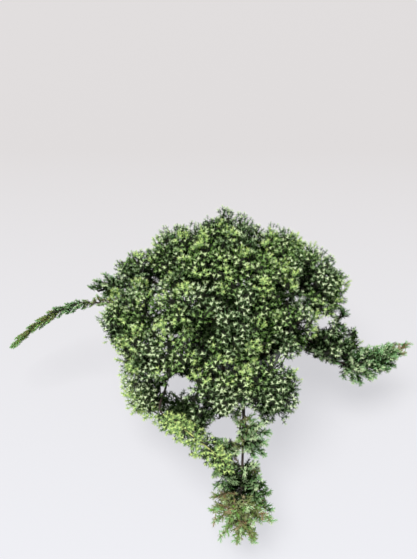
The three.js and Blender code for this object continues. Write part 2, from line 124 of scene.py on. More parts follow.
# The photograph's camera.
PHOTO_WIDTH = 417
PHOTO_HEIGHT = 559
SENSOR = 36.0
CAMERA = dict(target=(-0.045, 0.031, 0.164), distance=0.78, elevation=42, focal_pixels=550)

# Trunk and boughs.
CLEAR = 0.35
TRUNK_FOOT = (4, 6, CLEAR)
TRUNK_BEND = (4, 6, 44)
TRUNK_THICK = 10.5
TRUNK_THIN = 5.5
ROOT_FLARE = dict(width=6.5, height=8, sunk=2.5)
BOUGH_TAPER = 0.55
BOUGH_OUT = 0.35
BOUGH_IN = 0.3
BOUGH_SQUARE = 0.7
LIMB_SAMPLES = 16
NEAR_UPRIGHT = 0.8

# The masses of foliage, in the order in which they were numbered.
# girth: from a mass's line to its outline; taper: the share of that lost towards its tip.
# holder, at: the limb that carries it and how far along; thick, lift: its bough's radius and arch.
# look: which of the greens below it wears; painted_lighter: painted light by which its needles are paler than
# its look, and painted shade where it is below 0, for how the light falls on it.
# bronzed_from, bronzed: where its tips start to bronze, and the share of them that do.
# side_twigs, bare_until: short sprays on its bough, and how far the bough stays bare of them.
HEART = (-15, 0, 5)
MOUND = [
    dict(name="crown", centre=(-42, -8, 110), girth=58, look="sunny", painted_lighter=-0.04),
    dict(name="crown_right", centre=(16, -30, 104), girth=56, holder="trunk", at=0.74, thick=4, look="sunny"),
    dict(name="centre", centre=(-72, -58, 88), girth=54, holder="trunk", at=0.8, thick=4, look="fresh"),
    dict(name="front_centre", centre=(-14, -84, 76), girth=56, holder="trunk", at=0.62, thick=4.2,
         look="sunny"),
    dict(name="back_top", centre=(-22, 50, 108), girth=61, holder="trunk", at=0.76, thick=4.2, look="leafy"),
    dict(name="back_left", centre=(-82, 47, 90), girth=52, holder="trunk", at=0.62, thick=5, look="leafy"),
    dict(name="back_right", centre=(50, 44, 92), girth=54, holder="trunk", at=0.6, thick=4.6, look="leafy"),
    dict(name="right_upper", centre=(111, 26, 62), girth=51, holder="trunk", at=0.46, thick=4.8,
         look="leafy"),
    dict(name="right_middle", centre=(58, -52, 62), girth=47, holder="trunk", at=0.5, thick=4, look="leafy"),
    dict(name="left_upper", centre=(-146, 44, 64), girth=42, holder="back_left", at=0.5, thick=3.6,
         look="shady"),
    dict(name="left", centre=(-148, -39, 58), girth=51, holder="trunk", at=0.5, thick=4.8, look="fresh",
         painted_lighter=0.06),
    dict(name="left_lower", centre=(-128, -76, 34), girth=45, holder="trunk", at=0.34, thick=5, look="fresh",
         painted_lighter=0.16),
    dict(name="left_hanging", centre=(-122, -113, -8), girth=39, holder="left_lower", at=0.6, thick=3.2,
         look="fresh", painted_lighter=0.55),
    dict(name="centre_lower", centre=(-78, -98, 44), girth=46, holder="trunk", at=0.44, thick=3.6,
         look="leafy"),
    dict(name="front", centre=(-30, -130, 27), girth=52, holder="trunk", at=0.36, thick=4.4, look="leafy",
         painted_lighter=0.14),
    dict(name="front_right", centre=(34, -125, 24), girth=48, holder="trunk", at=0.3, thick=4.4,
         look="leafy"),
    dict(name="front_left", centre=(-70, -148, 0), girth=40, holder="front", at=0.66, thick=3, look="shady"),
    dict(name="rear_left", centre=(-93, 96, 44), girth=54, holder="trunk", at=0.4, thick=4.6, look="leafy"),
    dict(name="rear", centre=(-14, 104, 52), girth=54, holder="trunk", at=0.5, thick=4.6, look="leafy"),
    dict(name="rear_right", centre=(73, 88, 42), girth=56, holder="trunk", at=0.34, thick=4.6, look="leafy"),
]
MOUND_RISE = 0.8
MOUND_ROOT = 0.14
STEM_END = 0.8
STEM_POINTS = 9
STEM_RADIUS = 1.1
LEADERS = [
    dict(name="right_leader", root=(131, -51, -16), bend=(173, -62, -27), tip=(244, -21, -14),
         girth=40, taper=0.3, holder="trunk", at=0.26, thick=3.8, lift=22, kind="open", look="blue",
         bronzed_from=0.8, bronzed=0.35, side_twigs=14, bare_until=0.62),
    dict(name="right_cluster", root=(85, -28, 13), bend=(115, -49, -4), tip=(165, -17, -9),
         girth=42, holder="right_leader", at=0.42, thick=2.8, look="shady", painted_lighter=-0.12),
    dict(name="left_leader", root=(-162, 46, 34), bend=(-187, 48, 40), tip=(-219, 26, 38),
         girth=32, holder="left_upper", at=0.72, thick=3, kind="open", look="blue"),
    dict(name="left_runner", root=(-202, 20, 28), bend=(-264, 30, 31), tip=(-340, -29, -27),
         girth=20, taper=0.62, holder="left_leader", at=0.7, thick=2.6, kind="runner", look="olive",
         side_twigs=15, bare_until=0.4),
    dict(name="front_leader", root=(-3, -187, -12), bend=(-7, -241, -36), tip=(-10, -292, -56),
         girth=46, taper=0.05, holder="trunk", at=0.3, thick=2.9, lift=12, kind="open", look="olive",
         bronzed_from=0.45, bronzed=0.08, side_twigs=9, bare_until=0.76),
    dict(name="front_leader_right", root=(-1, -153, 4), bend=(3, -180, -4), tip=(11, -206, -17),
         girth=29, holder="front_leader", at=0.74, thick=1.8, kind="open", look="blue"),
    dict(name="front_leader_left", root=(-10, -183, -8), bend=(-20, -197, -16), tip=(-40, -221, -26),
         girth=35, holder="front_leader", at=0.82, thick=1.7, kind="open", look="blue"),
    dict(name="yellow_runner", root=(-101, -154, 6), bend=(-62, -185, 8), tip=(-14, -226, -2),
         girth=16, holder="left_hanging", at=0.95, thick=1.7, kind="runner", growth="tufted", look="young",
         stem="green"),
    dict(name="right_sprig", root=(134, -9, 6), bend=(144, 1, 12), tip=(153, 24, 18),
         girth=15, taper=0.3, holder="right_cluster", at=0.9, thick=1.4, kind="open", look="shady"),
]

# How the main sprays stand in each kind of mass.
# spacing: how far apart they end; lean: how far a spray's foot lies behind its tip; lowest: where they start;
# bluntness: how blunt the mass's ends are; slim: a spray's width for its length; bare: its bare share.
KINDS = {
    "dense": dict(spacing=48, lean=0.2, lowest=-0.62, bluntness=0.5, slim=0.21, bare=0.6),
    "open": dict(spacing=35, lean=0.28, lowest=-0.75, bluntness=0.32, slim=0.2, bare=0.35),
    "runner": dict(spacing=27, lean=1.1, lowest=-0.9, bluntness=0.3, slim=0.2, bare=0.35),
}
SPRAY_SEED = 4207
SPRAY_SEED_STEP = 101
GOLDEN_ANGLE = math.pi * (3 - math.sqrt(5))
TIP_DROP = 0.16
SPRAY_BELT = 0.68
SPRAY_SHARE = 0.5
SPRAY_LEAST_WIDTH = 2.0
SPRAY_WIDTHS = (2.4, 8.5)
FOOT_GATHER = 0.6
FOOT_LEAST_SPREAD = 0.35
FOOT_FIRST = 0.06
FOOT_LAST = 0.86
NEIGHBOUR_REACH = 1.3
CELL_MARGIN = 0.5
POT_MARGIN = 3.0
FLOOR_MARGIN = 6.0
OPEN_ROOM = 1000.0

# The finer growth: clumps of shoots on the main sprays, in each kind of mass.
# gap: how far apart the clumps are; shoots: how many a full tuft has; depth: from its tip to its base;
# fan: the widest angle of its shoots from its aim; upturn, rise: how much clumps and shoots turn upwards;
# forward: how much a clump points along its mass's line; flat: a mass's height for its width.
CLUMPS = {
    "dense": dict(gap=25.0, shoots=19, depth=14.0, fan=86, upturn=0.5, rise=0.5, forward=0.0),
    "open": dict(gap=24.0, upturn=0.15, rise=0.1, forward=0.35, flat=0.65),
    "runner": dict(gap=18.5, upturn=0.1, rise=0.1, forward=0.3, flat=0.6),
    "tufted": dict(gap=17.0, shoots=10, depth=7.5, fan=95, upturn=0.6, rise=0.5, forward=0.0, flat=0.5),
}

# A clump without a number of shoots is a feather: a side branch with shoots along it.
# foot: its bare share; pitch: from shoot to shoot; side: how far they stand off; splay, tilt: their angles;
# thinning: the share of feathers left out at the mass's foot and tip; lengths: for the way to the outline.
FEATHERS = {
    "open": dict(foot=0.06, pitch=2.1, side=9.5, splay=46, tilt=0.4,
                 thinning=(0.0, 0.15), lengths=(0.7, 1.12)),
    "runner": dict(foot=0.15, pitch=1.6, side=3.4, splay=38, tilt=0.5,
                   thinning=(0.0, 0.2), lengths=(0.7, 1.15)),
}
FEATHER_SHOOTS = dict(sizes=(0.7, 1.3), reaches=(1.15, 0.35), upper=0.5, clearance=1.0)
TUFT_SHOOTS = dict(sizes=(0.85, 1.15), reaches=(0.8, 1.15), first=0.35, swing=0.5, foot=0.7, least_share=0.75,
                   closing=1.04, tested_at=0.6, clearance=1.5)
SIDE_TWIGS = dict(length=0.3, shortest=10.0, forward=0.7, clear=2.2, lengths=(0.7, 1.1), swing=0.3, lift=0.2)
BRANCHING = dict(first=0.1, last=0.9, slant=0.6, lowest=0.02, highest=0.85)
NO_WALLS = ((), ())
THINNING_WIDTH = 24.0
CLUMP_SIZES = (0.8, 1.25)
CLUMP_CLEARANCE = 3
SWELLS = dict(width=55.0, depth=0.18, contrast=0.9)
LOBES = dict(width=34.0, border=0.42, valley=13.0)
INNER = dict(share=0.62, gap=28.0, shoots=9, deepest=52.0)
OVERLAP = 5.0
BLEND = 11.0
OUTLINE_GIRTH = 0.96
LONG_MASS_SHARES = (0.25, 0.5, 0.8)
OUTLINE_STEPS = 24
OUTLINE_REACH = (0.5, 1.45)
BURIED_DEPTH = 9.0
DEEPEST = 24.0
STALK = 12.0
CLUMP_SEED = 9001
CLUMP_SEED_STEP = 37

# Gaps that let the light through, as the camera sees them.
# pixel: a place in the photograph; reach: the gap's radius in millimetres.
GAPS = {
    "left_outer": dict(pixel=(168, 386), reach=9),
    "left_middle": dict(pixel=(177, 384), reach=11),
    "left_inner": dict(pixel=(185, 381), reach=7),
    "right_notch": dict(pixel=(292, 359), reach=9),
    "right_notch_outer": dict(pixel=(307, 358), reach=9),
    "ring": dict(pixel=(217, 429), reach=10),
    "ring_inner": dict(pixel=(229, 429), reach=11),
    "ring_right": dict(pixel=(246, 410), reach=4),
    "left_twig": dict(pixel=(163, 349), reach=4),
    "right": dict(pixel=(280, 353), reach=3.5),
    "right_high": dict(pixel=(304, 324), reach=6.5),
}


def seeded_numbers(seed):
    """Seeded numbers from 0 to 1, the same as the ones the main sprays were drawn with."""
    mask = 0xFFFFFFFF
    state = seed & mask
    while True:
        state = (state + 0x6D2B79F5) & mask
        mixed = ((state ^ (state >> 15)) * (1 | state)) & mask
        product = ((mixed ^ (mixed >> 7)) * (61 | mixed)) & mask
        mixed = ((mixed + product) ^ mixed) & mask
        yield (mixed ^ (mixed >> 14)) / (mask + 1)


def unit(vector):
    return vector / max(math.sqrt(float(vector @ vector)), 1e-9)


def lerp(low, high, share):
    return low + (high - low) * share


def clamp(value, low, high):
    return max(low, min(high, value))


def above_soil(place):
    return np.array([place[0], place[1], place[2] + SOIL_LEVEL], float)


def pot_radius(height):
    return lerp(POT_FOOT_RADIUS, POT_RIM_RADIUS, height / POT_HEIGHT)


class Curve:
    """A Bezier curve through any number of control points."""

    STEP = 1e-4

    def __init__(self, *points):
        self.points = [np.asarray(p, float) for p in points]

    def at(self, share):
        row = self.points
        while len(row) > 1:
            row = [lerp(a, b, share) for a, b in zip(row, row[1:])]
        return row[0]

    def tangent(self, share):
        low, high = max(share - self.STEP, 0), min(share + self.STEP, 1)
        return unit(self.at(high) - self.at(low))

    def length(self, steps=200):
        places = [self.at(i / steps) for i in range(steps + 1)]
        return sum(math.dist(a, b) for a, b in zip(places, places[1:]))

    def places(self, low, high, count):
        return [self.at(lerp(low, high, i / (count - 1))) for i in range(count)]


def square_to(direction, reference):
    """Two directions square to a line."""
    side = unit(np.cross(direction, reference))
    return side, np.cross(side, direction)


def upright_reference(direction):
    return np.array([1.0, 0, 0]) if abs(direction[2]) > NEAR_UPRIGHT else np.array([0, 0, 1.0])


class Limb:
    """A tapering limb: the trunk or a bough."""

    def __init__(self, curve, thick, thin):
        self.curve = curve
        self.thick = thick
        self.thin = thin
        shares = [i / LIMB_SAMPLES for i in range(LIMB_SAMPLES + 1)]
        self.samples = np.array([curve.at(s) for s in shares])
        self.radii = np.array([lerp(thick, thin, s) for s in shares])


class Mass:
    """A mass of foliage on its own line, with the numbers of its kind."""

    def __init__(self, number, row):
        self.number = number
        self.row = row
        self.name = row["name"]
        self.girth = row["girth"]
        self.taper = row.get("taper", 0)
        kind_name = row.get("kind", "dense")
        self.kind = KINDS[kind_name]
        self.growth = row.get("growth", kind_name)
        self.rounded = kind_name == "dense"
        if "centre" in row:
            centre = above_soil(row["centre"])
            axis = unit(centre - above_soil(HEART))
            reach = axis * self.girth * MOUND_RISE
            self.curve = Curve(centre - reach, centre, centre + reach)
            self.root = MOUND_ROOT
            self.outline_shares = (0.5,)
        else:
            self.curve = Curve(*[above_soil(row[key]) for key in ("root", "bend", "tip")])
            self.root = 0.0
            self.outline_shares = LONG_MASS_SHARES
        self.half_length = self.curve.length() / 2
        shares = [lerp(self.root, STEM_END, i / (STEM_POINTS - 1)) for i in range(STEM_POINTS)]
        self.stem = np.array([self.curve.at(s) for s in shares])


class Plant:
    """The whole growing rule: limbs, main sprays, clumps and shoots."""

    def __init__(self):
        self.masses = [Mass(i, row) for i, row in enumerate([*MOUND, *LEADERS])]
        self.named = {mass.name: mass for mass in self.masses}
        crown = self.named["crown"]
        tip = crown.curve.at(crown.root) - crown.curve.tangent(crown.root) * CLEAR
        trunk_curve = Curve(above_soil(TRUNK_FOOT), above_soil(TRUNK_BEND), tip)
        self.limbs = {"trunk": Limb(trunk_curve, TRUNK_THICK, TRUNK_THIN)}
        for mass in self.masses:
            self.add_bough(mass)
        self.limb_places = np.concatenate([limb.samples for limb in self.limbs.values()])
        self.limb_radii = np.concatenate([limb.radii for limb in self.limbs.values()])
        balls = [(mass, share) for mass in self.masses if mass.rounded for share in mass.outline_shares]
        self.centres = np.array([mass.curve.at(share) for mass, share in balls])
        self.girths = np.array([mass.girth * OUTLINE_GIRTH for mass, _ in balls])
        self.sights = [(line_of_sight(gap["pixel"]), gap["reach"]) for gap in GAPS.values()]
        self.sprays = {}
        self.clumps = {}
        for mass in self.masses:
            walls = self.cell_walls(mass)
            self.sprays[mass.name] = self.grow_sprays(mass, walls)
            self.clumps[mass.name] = self.grow_clumps(mass, walls)

    def add_bough(self, mass):
        """A bough from its holder to the root of its mass, after the holder's own."""
        row = mass.row
        if "holder" not in row or mass.name in self.limbs:
            return
        if row["holder"] not in self.limbs:
            self.add_bough(self.named[row["holder"]])
        holder = self.limbs[row["holder"]]
        start = holder.curve.at(row["at"])
        arrival = mass.curve.tangent(mass.root)
        end = mass.curve.at(mass.root) - arrival * CLEAR
        span = math.dist(start, end)
        along = holder.curve.tangent(row["at"])
        outward = end - start
        outward = unit(outward - along * BOUGH_SQUARE * (outward @ along))
        leave = start + outward * span * BOUGH_OUT + np.array([0, 0, row.get("lift", 0)])
        arrive = end - arrival * span * BOUGH_IN
        thick = row["thick"]
        self.limbs[mass.name] = Limb(Curve(start, leave, arrive, end), thick, thick * BOUGH_TAPER)

    def cell_walls(self, mass):
        """The space that a mass keeps to, as normals and reaches of flat walls."""
        normals, reaches = [], []
        for other in self.masses:
            if other is mass:
                continue
            links = other.stem[None] - mass.stem[:, None]
            gaps = np.linalg.norm(links, axis=2)
            row, column = np.unravel_index(np.argmin(gaps), gaps.shape)
            if gaps[row, column] > (mass.girth + other.girth) * NEIGHBOUR_REACH:
                continue
            normal = links[row, column] / gaps[row, column]
            own = float((mass.stem @ normal).max())
            theirs = float((other.stem @ normal).min())
            share = mass.girth / (mass.girth + other.girth) if theirs > own else 0.5
            normals.append(normal)
            reaches.append(own + (theirs - own) * share - CELL_MARGIN)
        return np.array(normals), np.array(reaches)

    def meets(self, point, radius):
        """Whether a ball would touch the floor, the pot or a limb."""
        if point[2] < FLOOR_MARGIN + radius:
            return True
        wall = pot_radius(min(point[2], POT_HEIGHT)) + POT_MARGIN + radius
        if point[2] <= POT_HEIGHT + POT_MARGIN + radius and math.hypot(point[0], point[1]) < wall:
            return True
        gaps = np.linalg.norm(self.limb_places - point, axis=1)
        return bool((gaps < self.limb_radii + radius + CLEAR).any())

    def grow_sprays(self, mass, walls):
        """The main sprays, each from a foot on the stem to a tip near the outline."""
        draw = seeded_numbers(SPRAY_SEED + SPRAY_SEED_STEP * mass.number)
        kind = mass.kind
        sprays = []
        for along, turn, fall, _ in self.spiral(mass, kind["spacing"], draw):
            tip, foot = self.tip_and_foot(mass, along, turn, fall)
            share = share_inside(walls, foot, tip)
            if share < SPRAY_SHARE:
                continue
            tip = lerp(foot, tip, share)
            belt = lerp(foot, tip, SPRAY_BELT)
            width = clamp(math.dist(foot, tip) * kind["slim"], *SPRAY_WIDTHS)
            width = min(width, room_at(walls, belt))
            if width < SPRAY_LEAST_WIDTH:
                continue
            tested = [(kind["bare"], width), ((kind["bare"] + 1) / 2, width), (1, 0)]
            if any(self.meets(lerp(foot, tip, at), thick) for at, thick in tested):
                continue
            sprays.append((foot, tip))
        return sprays

    @staticmethod
    def spiral(mass, spacing, draw):
        """Even places on a mass's outline: steps along its line that turn by the golden angle."""
        girth = mass.girth
        area = 4 * math.pi * (girth * girth + 2 * girth * mass.half_length) / 3
        lowest = mass.kind["lowest"]
        count = int(area * (1 - lowest) / 2 / (spacing * spacing) + 0.5)
        phase = next(draw) * 2 * math.pi
        for k in range(count):
            along = lerp(lowest, 1, (k + 0.5) / (count - 0.5))
            fall = 0 if k == count - 1 else TIP_DROP * next(draw)
            twist = next(draw) * 2 * math.pi
            yield along, phase + k * GOLDEN_ANGLE, fall, twist

    @staticmethod
    def tip_and_foot(mass, along, turn, fall, flat=1):
        """A spray's tip near the outline, and its foot on the stem."""
        kind, girth, curve = mass.kind, mass.girth, mass.curve
        tip_share = (1 + along * (1 - fall / 2)) / 2
        side, other = square_to(curve.tangent(tip_share), upright_reference(unit(curve.at(1) - curve.at(0))))
        out = girth * (1 - fall) * max(1 - along * along, 0) ** kind["bluntness"]
        out *= 1 - mass.taper * tip_share
        tip = curve.at(tip_share) + side * math.cos(turn) * out + other * math.sin(turn) * out * flat
        spread = max(1 - FOOT_GATHER * girth / mass.half_length, FOOT_LEAST_SPREAD)
        foot_along = along * spread - kind["lean"] * girth / mass.half_length
        foot_share = clamp((1 + foot_along) / 2, mass.root + FOOT_FIRST, FOOT_LAST)
        return tip, curve.at(foot_share)

    def depth_inside(self, point):
        """How far a point lies under the mound's rounded outline, which runs smoothly from mass to mass."""
        gaps = np.linalg.norm(self.centres - point, axis=1)
        return BLEND * math.log(np.exp((self.girths - gaps) / BLEND).sum())

    def on_outline(self, foot, tip):
        """The place on the mound's outline towards which a twig grows."""
        for step in range(OUTLINE_STEPS + 1):
            place = lerp(foot, tip, lerp(*OUTLINE_REACH, step / OUTLINE_STEPS))
            if self.depth_inside(place) < 0:
                break
        return place

    def in_gap(self, point):
        """Whether a point stands in one of the gaps that the light comes through."""
        for (eye, way), reach in self.sights:
            link = point - eye
            across = link - way * float(link @ way)
            if math.sqrt(float(across @ across)) < reach:
                return True
        return False

    def grow_clumps(self, mass, walls):
        """Tufts of shoots between the main sprays' tips, each on a twig of its own, or feathers."""
        draw = seeded_numbers(CLUMP_SEED + CLUMP_SEED_STEP * mass.number)
        fine = CLUMPS[mass.growth]
        clumps = []
        tufted = "shoots" in fine
        loose = (walls[0], walls[1] + OVERLAP)
        places = [(*place, False) for place in self.spiral(mass, fine["gap"], draw)]
        if mass.rounded:
            places += [(*place, True) for place in self.spiral(mass, INNER["gap"], draw)]
        for along, turn, fall, twist, inner in places:
            tip, foot = self.tip_and_foot(mass, along, turn, fall, fine.get("flat", 1))
            if mass.rounded:
                tip = self.on_outline(foot, tip)
                swell = 0.5 - SWELLS["contrast"] * noise.noise(Vector(tip) / SWELLS["width"])
                tip = lerp(foot, tip, 1 - SWELLS["depth"] * clamp(swell, 0, 1))
            if inner:
                tip = lerp(foot, tip, INNER["share"])
            size = lerp(*CLUMP_SIZES, next(draw))
            tone = next(draw)
            share = share_inside(loose, foot, tip)
            if share < SPRAY_SHARE:
                continue
            tip = lerp(foot, tip, share)
            sunk = self.depth_inside(tip) if mass.rounded else 0
            if sunk > (INNER["deepest"] if inner else DEEPEST):
                continue
            aim = unit(tip - foot) + np.array([0, 0, fine["upturn"]])
            aim = unit(aim + mass.curve.tangent((1 + along) / 2) * fine["forward"])
            clump = dict(mass=mass, aim=aim, twist=twist, walls=loose, tone=tone, tufted=tufted, foot=foot)
            if tufted:
                depth = fine["depth"] * size
                base = tip - aim * depth
                start = self.branching_point(mass, base)
                buried = inner or (share < 1 and sunk > BURIED_DEPTH)
                count = round((INNER if inner else fine)["shoots"] * size * size)
                clump.update(depth=depth, count=count, buried=buried)
            else:
                feather = FEATHERS[mass.growth]
                thinning = lerp(*feather["thinning"], (1 + along) / 2)
                if noise.noise(Vector(tip) / THINNING_WIDTH) < thinning - 0.5:
                    continue
                length = lerp(*feather["lengths"], next(draw))
                tip = lerp(foot, tip, min(length, share_inside(loose, foot, tip)))
                base = start = lerp(foot, tip, feather["foot"])
            if self.meets(base, CLUMP_CLEARANCE) or self.meets(tip, 0) or self.in_gap(base):
                continue
            clump.update(base=base, start=start, tip=tip)
            clumps.append(clump)
        return clumps + self.side_twigs(mass, draw)

    def side_twigs(self, mass, draw):
        """Feathers on the last stretch of the bough that carries a leader, by turns to its left and right."""
        count = mass.row.get("side_twigs", 0)
        twigs = []
        for k in range(count):
            share = lerp(mass.row["bare_until"], 1, (k + 0.5) / count)
            foot = self.limbs[mass.name].curve.at(share)
            way = self.limbs[mass.name].curve.tangent(share)
            side, above = square_to(way, upright_reference(way))
            turn = (k % 2 + SIDE_TWIGS["swing"] * next(draw)) * math.pi
            up = SIDE_TWIGS["lift"] + abs(math.sin(turn))
            aim = unit(way * SIDE_TWIGS["forward"] + side * math.cos(turn) + above * up)
            start = foot + aim * SIDE_TWIGS["clear"]
            length = max(mass.girth * SIDE_TWIGS["length"], SIDE_TWIGS["shortest"])
            tip = start + aim * length * lerp(*SIDE_TWIGS["lengths"], next(draw))
            twist, tone = next(draw) * 2 * math.pi, next(draw)
            twigs.append(dict(mass=mass, aim=aim, twist=twist, walls=NO_WALLS, tone=tone, tufted=False,
                              foot=foot, base=start, start=start, tip=tip))
        return twigs

    def branching_point(self, mass, base):
        """Where the twig of a clump leaves the nearest main spray, or the mass's own stem."""
        best, place = math.inf, None
        for foot, tip in self.sprays[mass.name]:
            line = tip - foot
            share = float((base - foot) @ line) / float(line @ line)
            share = clamp(share, BRANCHING["first"], BRANCHING["last"])
            gap = math.dist(base, foot + line * share)
            if gap < best:
                leave = share - BRANCHING["slant"] * gap / math.sqrt(float(line @ line))
                leave = clamp(leave, BRANCHING["lowest"], BRANCHING["highest"])
                best, place = gap, foot + line * leave
        gaps = np.linalg.norm(mass.stem - base, axis=1)
        if place is None or gaps.min() < best:
            return mass.stem[max(int(gaps.argmin()) - 1, 0)]
        return place

    def shoots_of(self, clump):
        """A clump's shoots: tip, aim, size, level, chance and turn of each."""
        return self.tuft_of(clump) if clump["tufted"] else self.feather_of(clump)

    def feather_of(self, clump):
        """Shoots in three rows along a side branch, left, right and above, and one at its tip."""
        draw = seeded_numbers(int(clump["twist"] * 1e6))
        feather, fine = FEATHERS[clump["mass"].growth], FEATHER_SHOOTS
        rise = np.array([0, 0, CLUMPS[clump["mass"].growth]["rise"]])
        start, tip = clump["start"], clump["tip"]
        axis = unit(tip - start)
        side, above = square_to(axis, upright_reference(axis))
        splay = math.radians(feather["splay"])
        count = max(int(math.dist(start, tip) / feather["pitch"]), 2)
        shoots = []
        for k in range(count + 1):
            chance, size, spin = next(draw), lerp(*fine["sizes"], next(draw)), next(draw) * 2 * math.pi
            tilt = feather["tilt"] * (2 * next(draw) - 1)
            share, way, reach = 1, axis, 0
            if k < count:
                hand = (1, -1, 0)[k % 3]
                share = (k + 0.5) / count
                lift = above * (tilt if hand else 1)
                way = unit(axis * math.cos(splay) + (side * hand + lift) * math.sin(splay) + rise)
                cut = 1 if hand else fine["upper"]
                reach = feather["side"] * lerp(*fine["reaches"], share) * size * cut
            place = lerp(start, tip, share) + way * reach
            outside = share_inside(clump["walls"], start, place) < 1
            if outside or self.meets(place, fine["clearance"]) or self.in_gap(place):
                continue
            shoots.append((place, way, size, share, chance, spin))
        return shoots

    def tuft_of(self, clump):
        """Shoots fanned out round a clump's aim."""
        draw = seeded_numbers(int(clump["twist"] * 1e6))
        growth, fine = CLUMPS[clump["mass"].growth], TUFT_SHOOTS
        base, aim, depth = clump["base"], clump["aim"], clump["depth"]
        side, other = square_to(aim, upright_reference(aim))
        lowest = 1 - math.cos(math.radians(growth["fan"]))
        count = clump["count"]
        shoots = []
        for k in range(count):
            level = 1 - (k + fine["first"]) / count * lowest
            sink = math.sqrt(1 - level * level)
            turn = clump["twist"] + k * GOLDEN_ANGLE + fine["swing"] * next(draw)
            radial = side * math.cos(turn) + other * math.sin(turn)
            reach = depth * lerp(*fine["reaches"], next(draw))
            tip = base + (aim * level + radial * sink) * reach
            foot = base - aim * depth * fine["foot"] * sink
            size = lerp(*fine["sizes"], next(draw))
            chance = next(draw)
            share = share_inside(clump["walls"], foot, tip)
            tested = lerp(foot, tip, fine["tested_at"])
            if share < fine["least_share"] or self.meets(tested, fine["clearance"]) or self.in_gap(tip):
                continue
            tip = lerp(foot, tip, min(share * fine["closing"], 1))
            height = on_lobe(tip) if clump["mass"].rounded else 1
            tip = tip - aim * LOBES["valley"] * (1 - height)
            way = unit(unit(tip - foot) + np.array([0, 0, growth["rise"]]))
            # The level, lower on a clump's sides and in a valley between lobes, is painted shade: it darkens
            # the tones the shoot's needles get.
            shoots.append((tip, way, size, level * height, chance, turn))
        return shoots


def on_lobe(place):
    """From 0 in a valley between two lobes of the foliage to 1 on a lobe."""
    gaps, _ = noise.voronoi(Vector(place) / LOBES["width"])
    return clamp((gaps[1] - gaps[0]) / LOBES["border"], 0, 1)


def line_of_sight(pixel):
    """The camera's place and the way it looks through a pixel of the photograph, in millimetres."""
    slope, focal = math.radians(CAMERA["elevation"]), CAMERA["focal_pixels"]
    back = np.array([0, -math.cos(slope), math.sin(slope)])
    above = np.array([0, math.sin(slope), math.cos(slope)])
    eye = np.array(CAMERA["target"]) / MM + back * CAMERA["distance"] / MM
    across = (pixel[0] - PHOTO_WIDTH / 2) / focal
    down = (pixel[1] - PHOTO_HEIGHT / 2) / focal
    return eye, unit(np.array([across, 0, 0]) - above * down - back)


def room_at(walls, point):
    normals, reaches = walls
    return float((reaches - normals @ point).min()) if len(reaches) else OPEN_ROOM


def share_inside(walls, start, end):
    """The share of the way from one point to another that stays inside the walls."""
    normals, reaches = walls
    if not len(reaches):
        return 1.0
    climb = normals @ (end - start)
    room = reaches - normals @ start
    rising = climb > 0
    return min(1.0, float((room[rising] / climb[rising]).min())) if rising.any() else 1.0


@functools.lru_cache(maxsize=1)
def plant():
    return Plant()


class Nodes:
    """A node tree built by calls. Words with a capital are a node's inputs, and others its settings."""

    def __init__(self, tree):
        self.tree = tree

    def add(self, kind, inputs=None, out=0, **words):
        node = self.tree.nodes.new(kind)
        sockets = dict(inputs or {})
        for word, value in words.items():
            if word[0].isupper():
                sockets[word.replace("_", " ")] = value
            else:
                setattr(node, word, value)
        for key, value in sockets.items():
            self.feed(node.inputs[key], value)
        return node.outputs[out]

    def feed(self, socket, value):
        if isinstance(value, bpy.types.NodeSocket):
            self.tree.links.new(value, socket)
        else:
            socket.default_value = value

    def shader(self, kind, inputs=None, out=0, **words):
        return self.add("ShaderNode" + kind, inputs, out, **words)

    def geometry(self, kind, inputs=None, out=0, **words):
        return self.add("GeometryNode" + kind, inputs, out, **words)

    def function(self, kind, inputs=None, out=0, **words):
        return self.add("FunctionNode" + kind, inputs, out, **words)

    def maths(self, operation, *values):
        return self.shader("Math", dict(enumerate(values)), operation=operation)

    def mixed(self, share, low, high):
        return self.shader("MapRange", Value=share, To_Min=low, To_Max=high)


class GeometryTree(Nodes):
    """A geometry node tree with named inputs, for use as a modifier."""

    def __init__(self, name):
        super().__init__(bpy.data.node_groups.new(name, "GeometryNodeTree"))
        self.tree.is_modifier = True
        for way in ("INPUT", "OUTPUT"):
            self.tree.interface.new_socket("Geometry", in_out=way, socket_type="NodeSocketGeometry")
        self.start = self.tree.nodes.new("NodeGroupInput")
        self.end = self.tree.nodes.new("NodeGroupOutput")

    def input(self, name, kind, default):
        socket = self.tree.interface.new_socket(name, in_out="INPUT", socket_type="NodeSocket" + kind)
        socket.default_value = default
        return self.start.outputs[name]

    def number(self, name, default=0.0):
        return self.input(name, "Float", default)

    def whole(self, name, default=1):
        return self.input(name, "Int", default)

    def attribute(self, name, data_type="FLOAT"):
        return self.geometry("InputNamedAttribute", Name=name, data_type=data_type)

    def stored(self, geometry, name, value, domain):
        return self.geometry("StoreNamedAttribute", Geometry=geometry, Name=name, Value=value,
                             data_type="FLOAT", domain=domain)

    def joined(self, *parts):
        join = self.geometry("JoinGeometry").node
        for part in parts:
            self.feed(join.inputs[0], part)
        return join.outputs[0]

    def finish(self, geometry, *chosen):
        """Ends the tree with real geometry and a Set Material for each (material, selection)."""
        geometry = self.geometry("RealizeInstances", Geometry=geometry)
        for material, selection in chosen:
            choice = {} if selection is None else dict(Selection=selection)
            geometry = self.geometry("SetMaterial", Geometry=geometry, Material=material, **choice)
        self.tree.links.new(geometry, self.end.inputs[0])
        return self.tree


def settle(piece, modifier):
    """Makes what a modifier gives the piece's plain mesh, and takes the modifier off."""
    graph = bpy.context.evaluated_depsgraph_get()
    made = bpy.data.meshes.new_from_object(piece.evaluated_get(graph), depsgraph=graph)
    piece.modifiers.remove(modifier)
    old = piece.data
    piece.data = made
    bpy.data.meshes.remove(old)
    made.name = piece.name
    if not len(made.polygons):
        raise RuntimeError(f"{piece.name} came out empty")
    return made


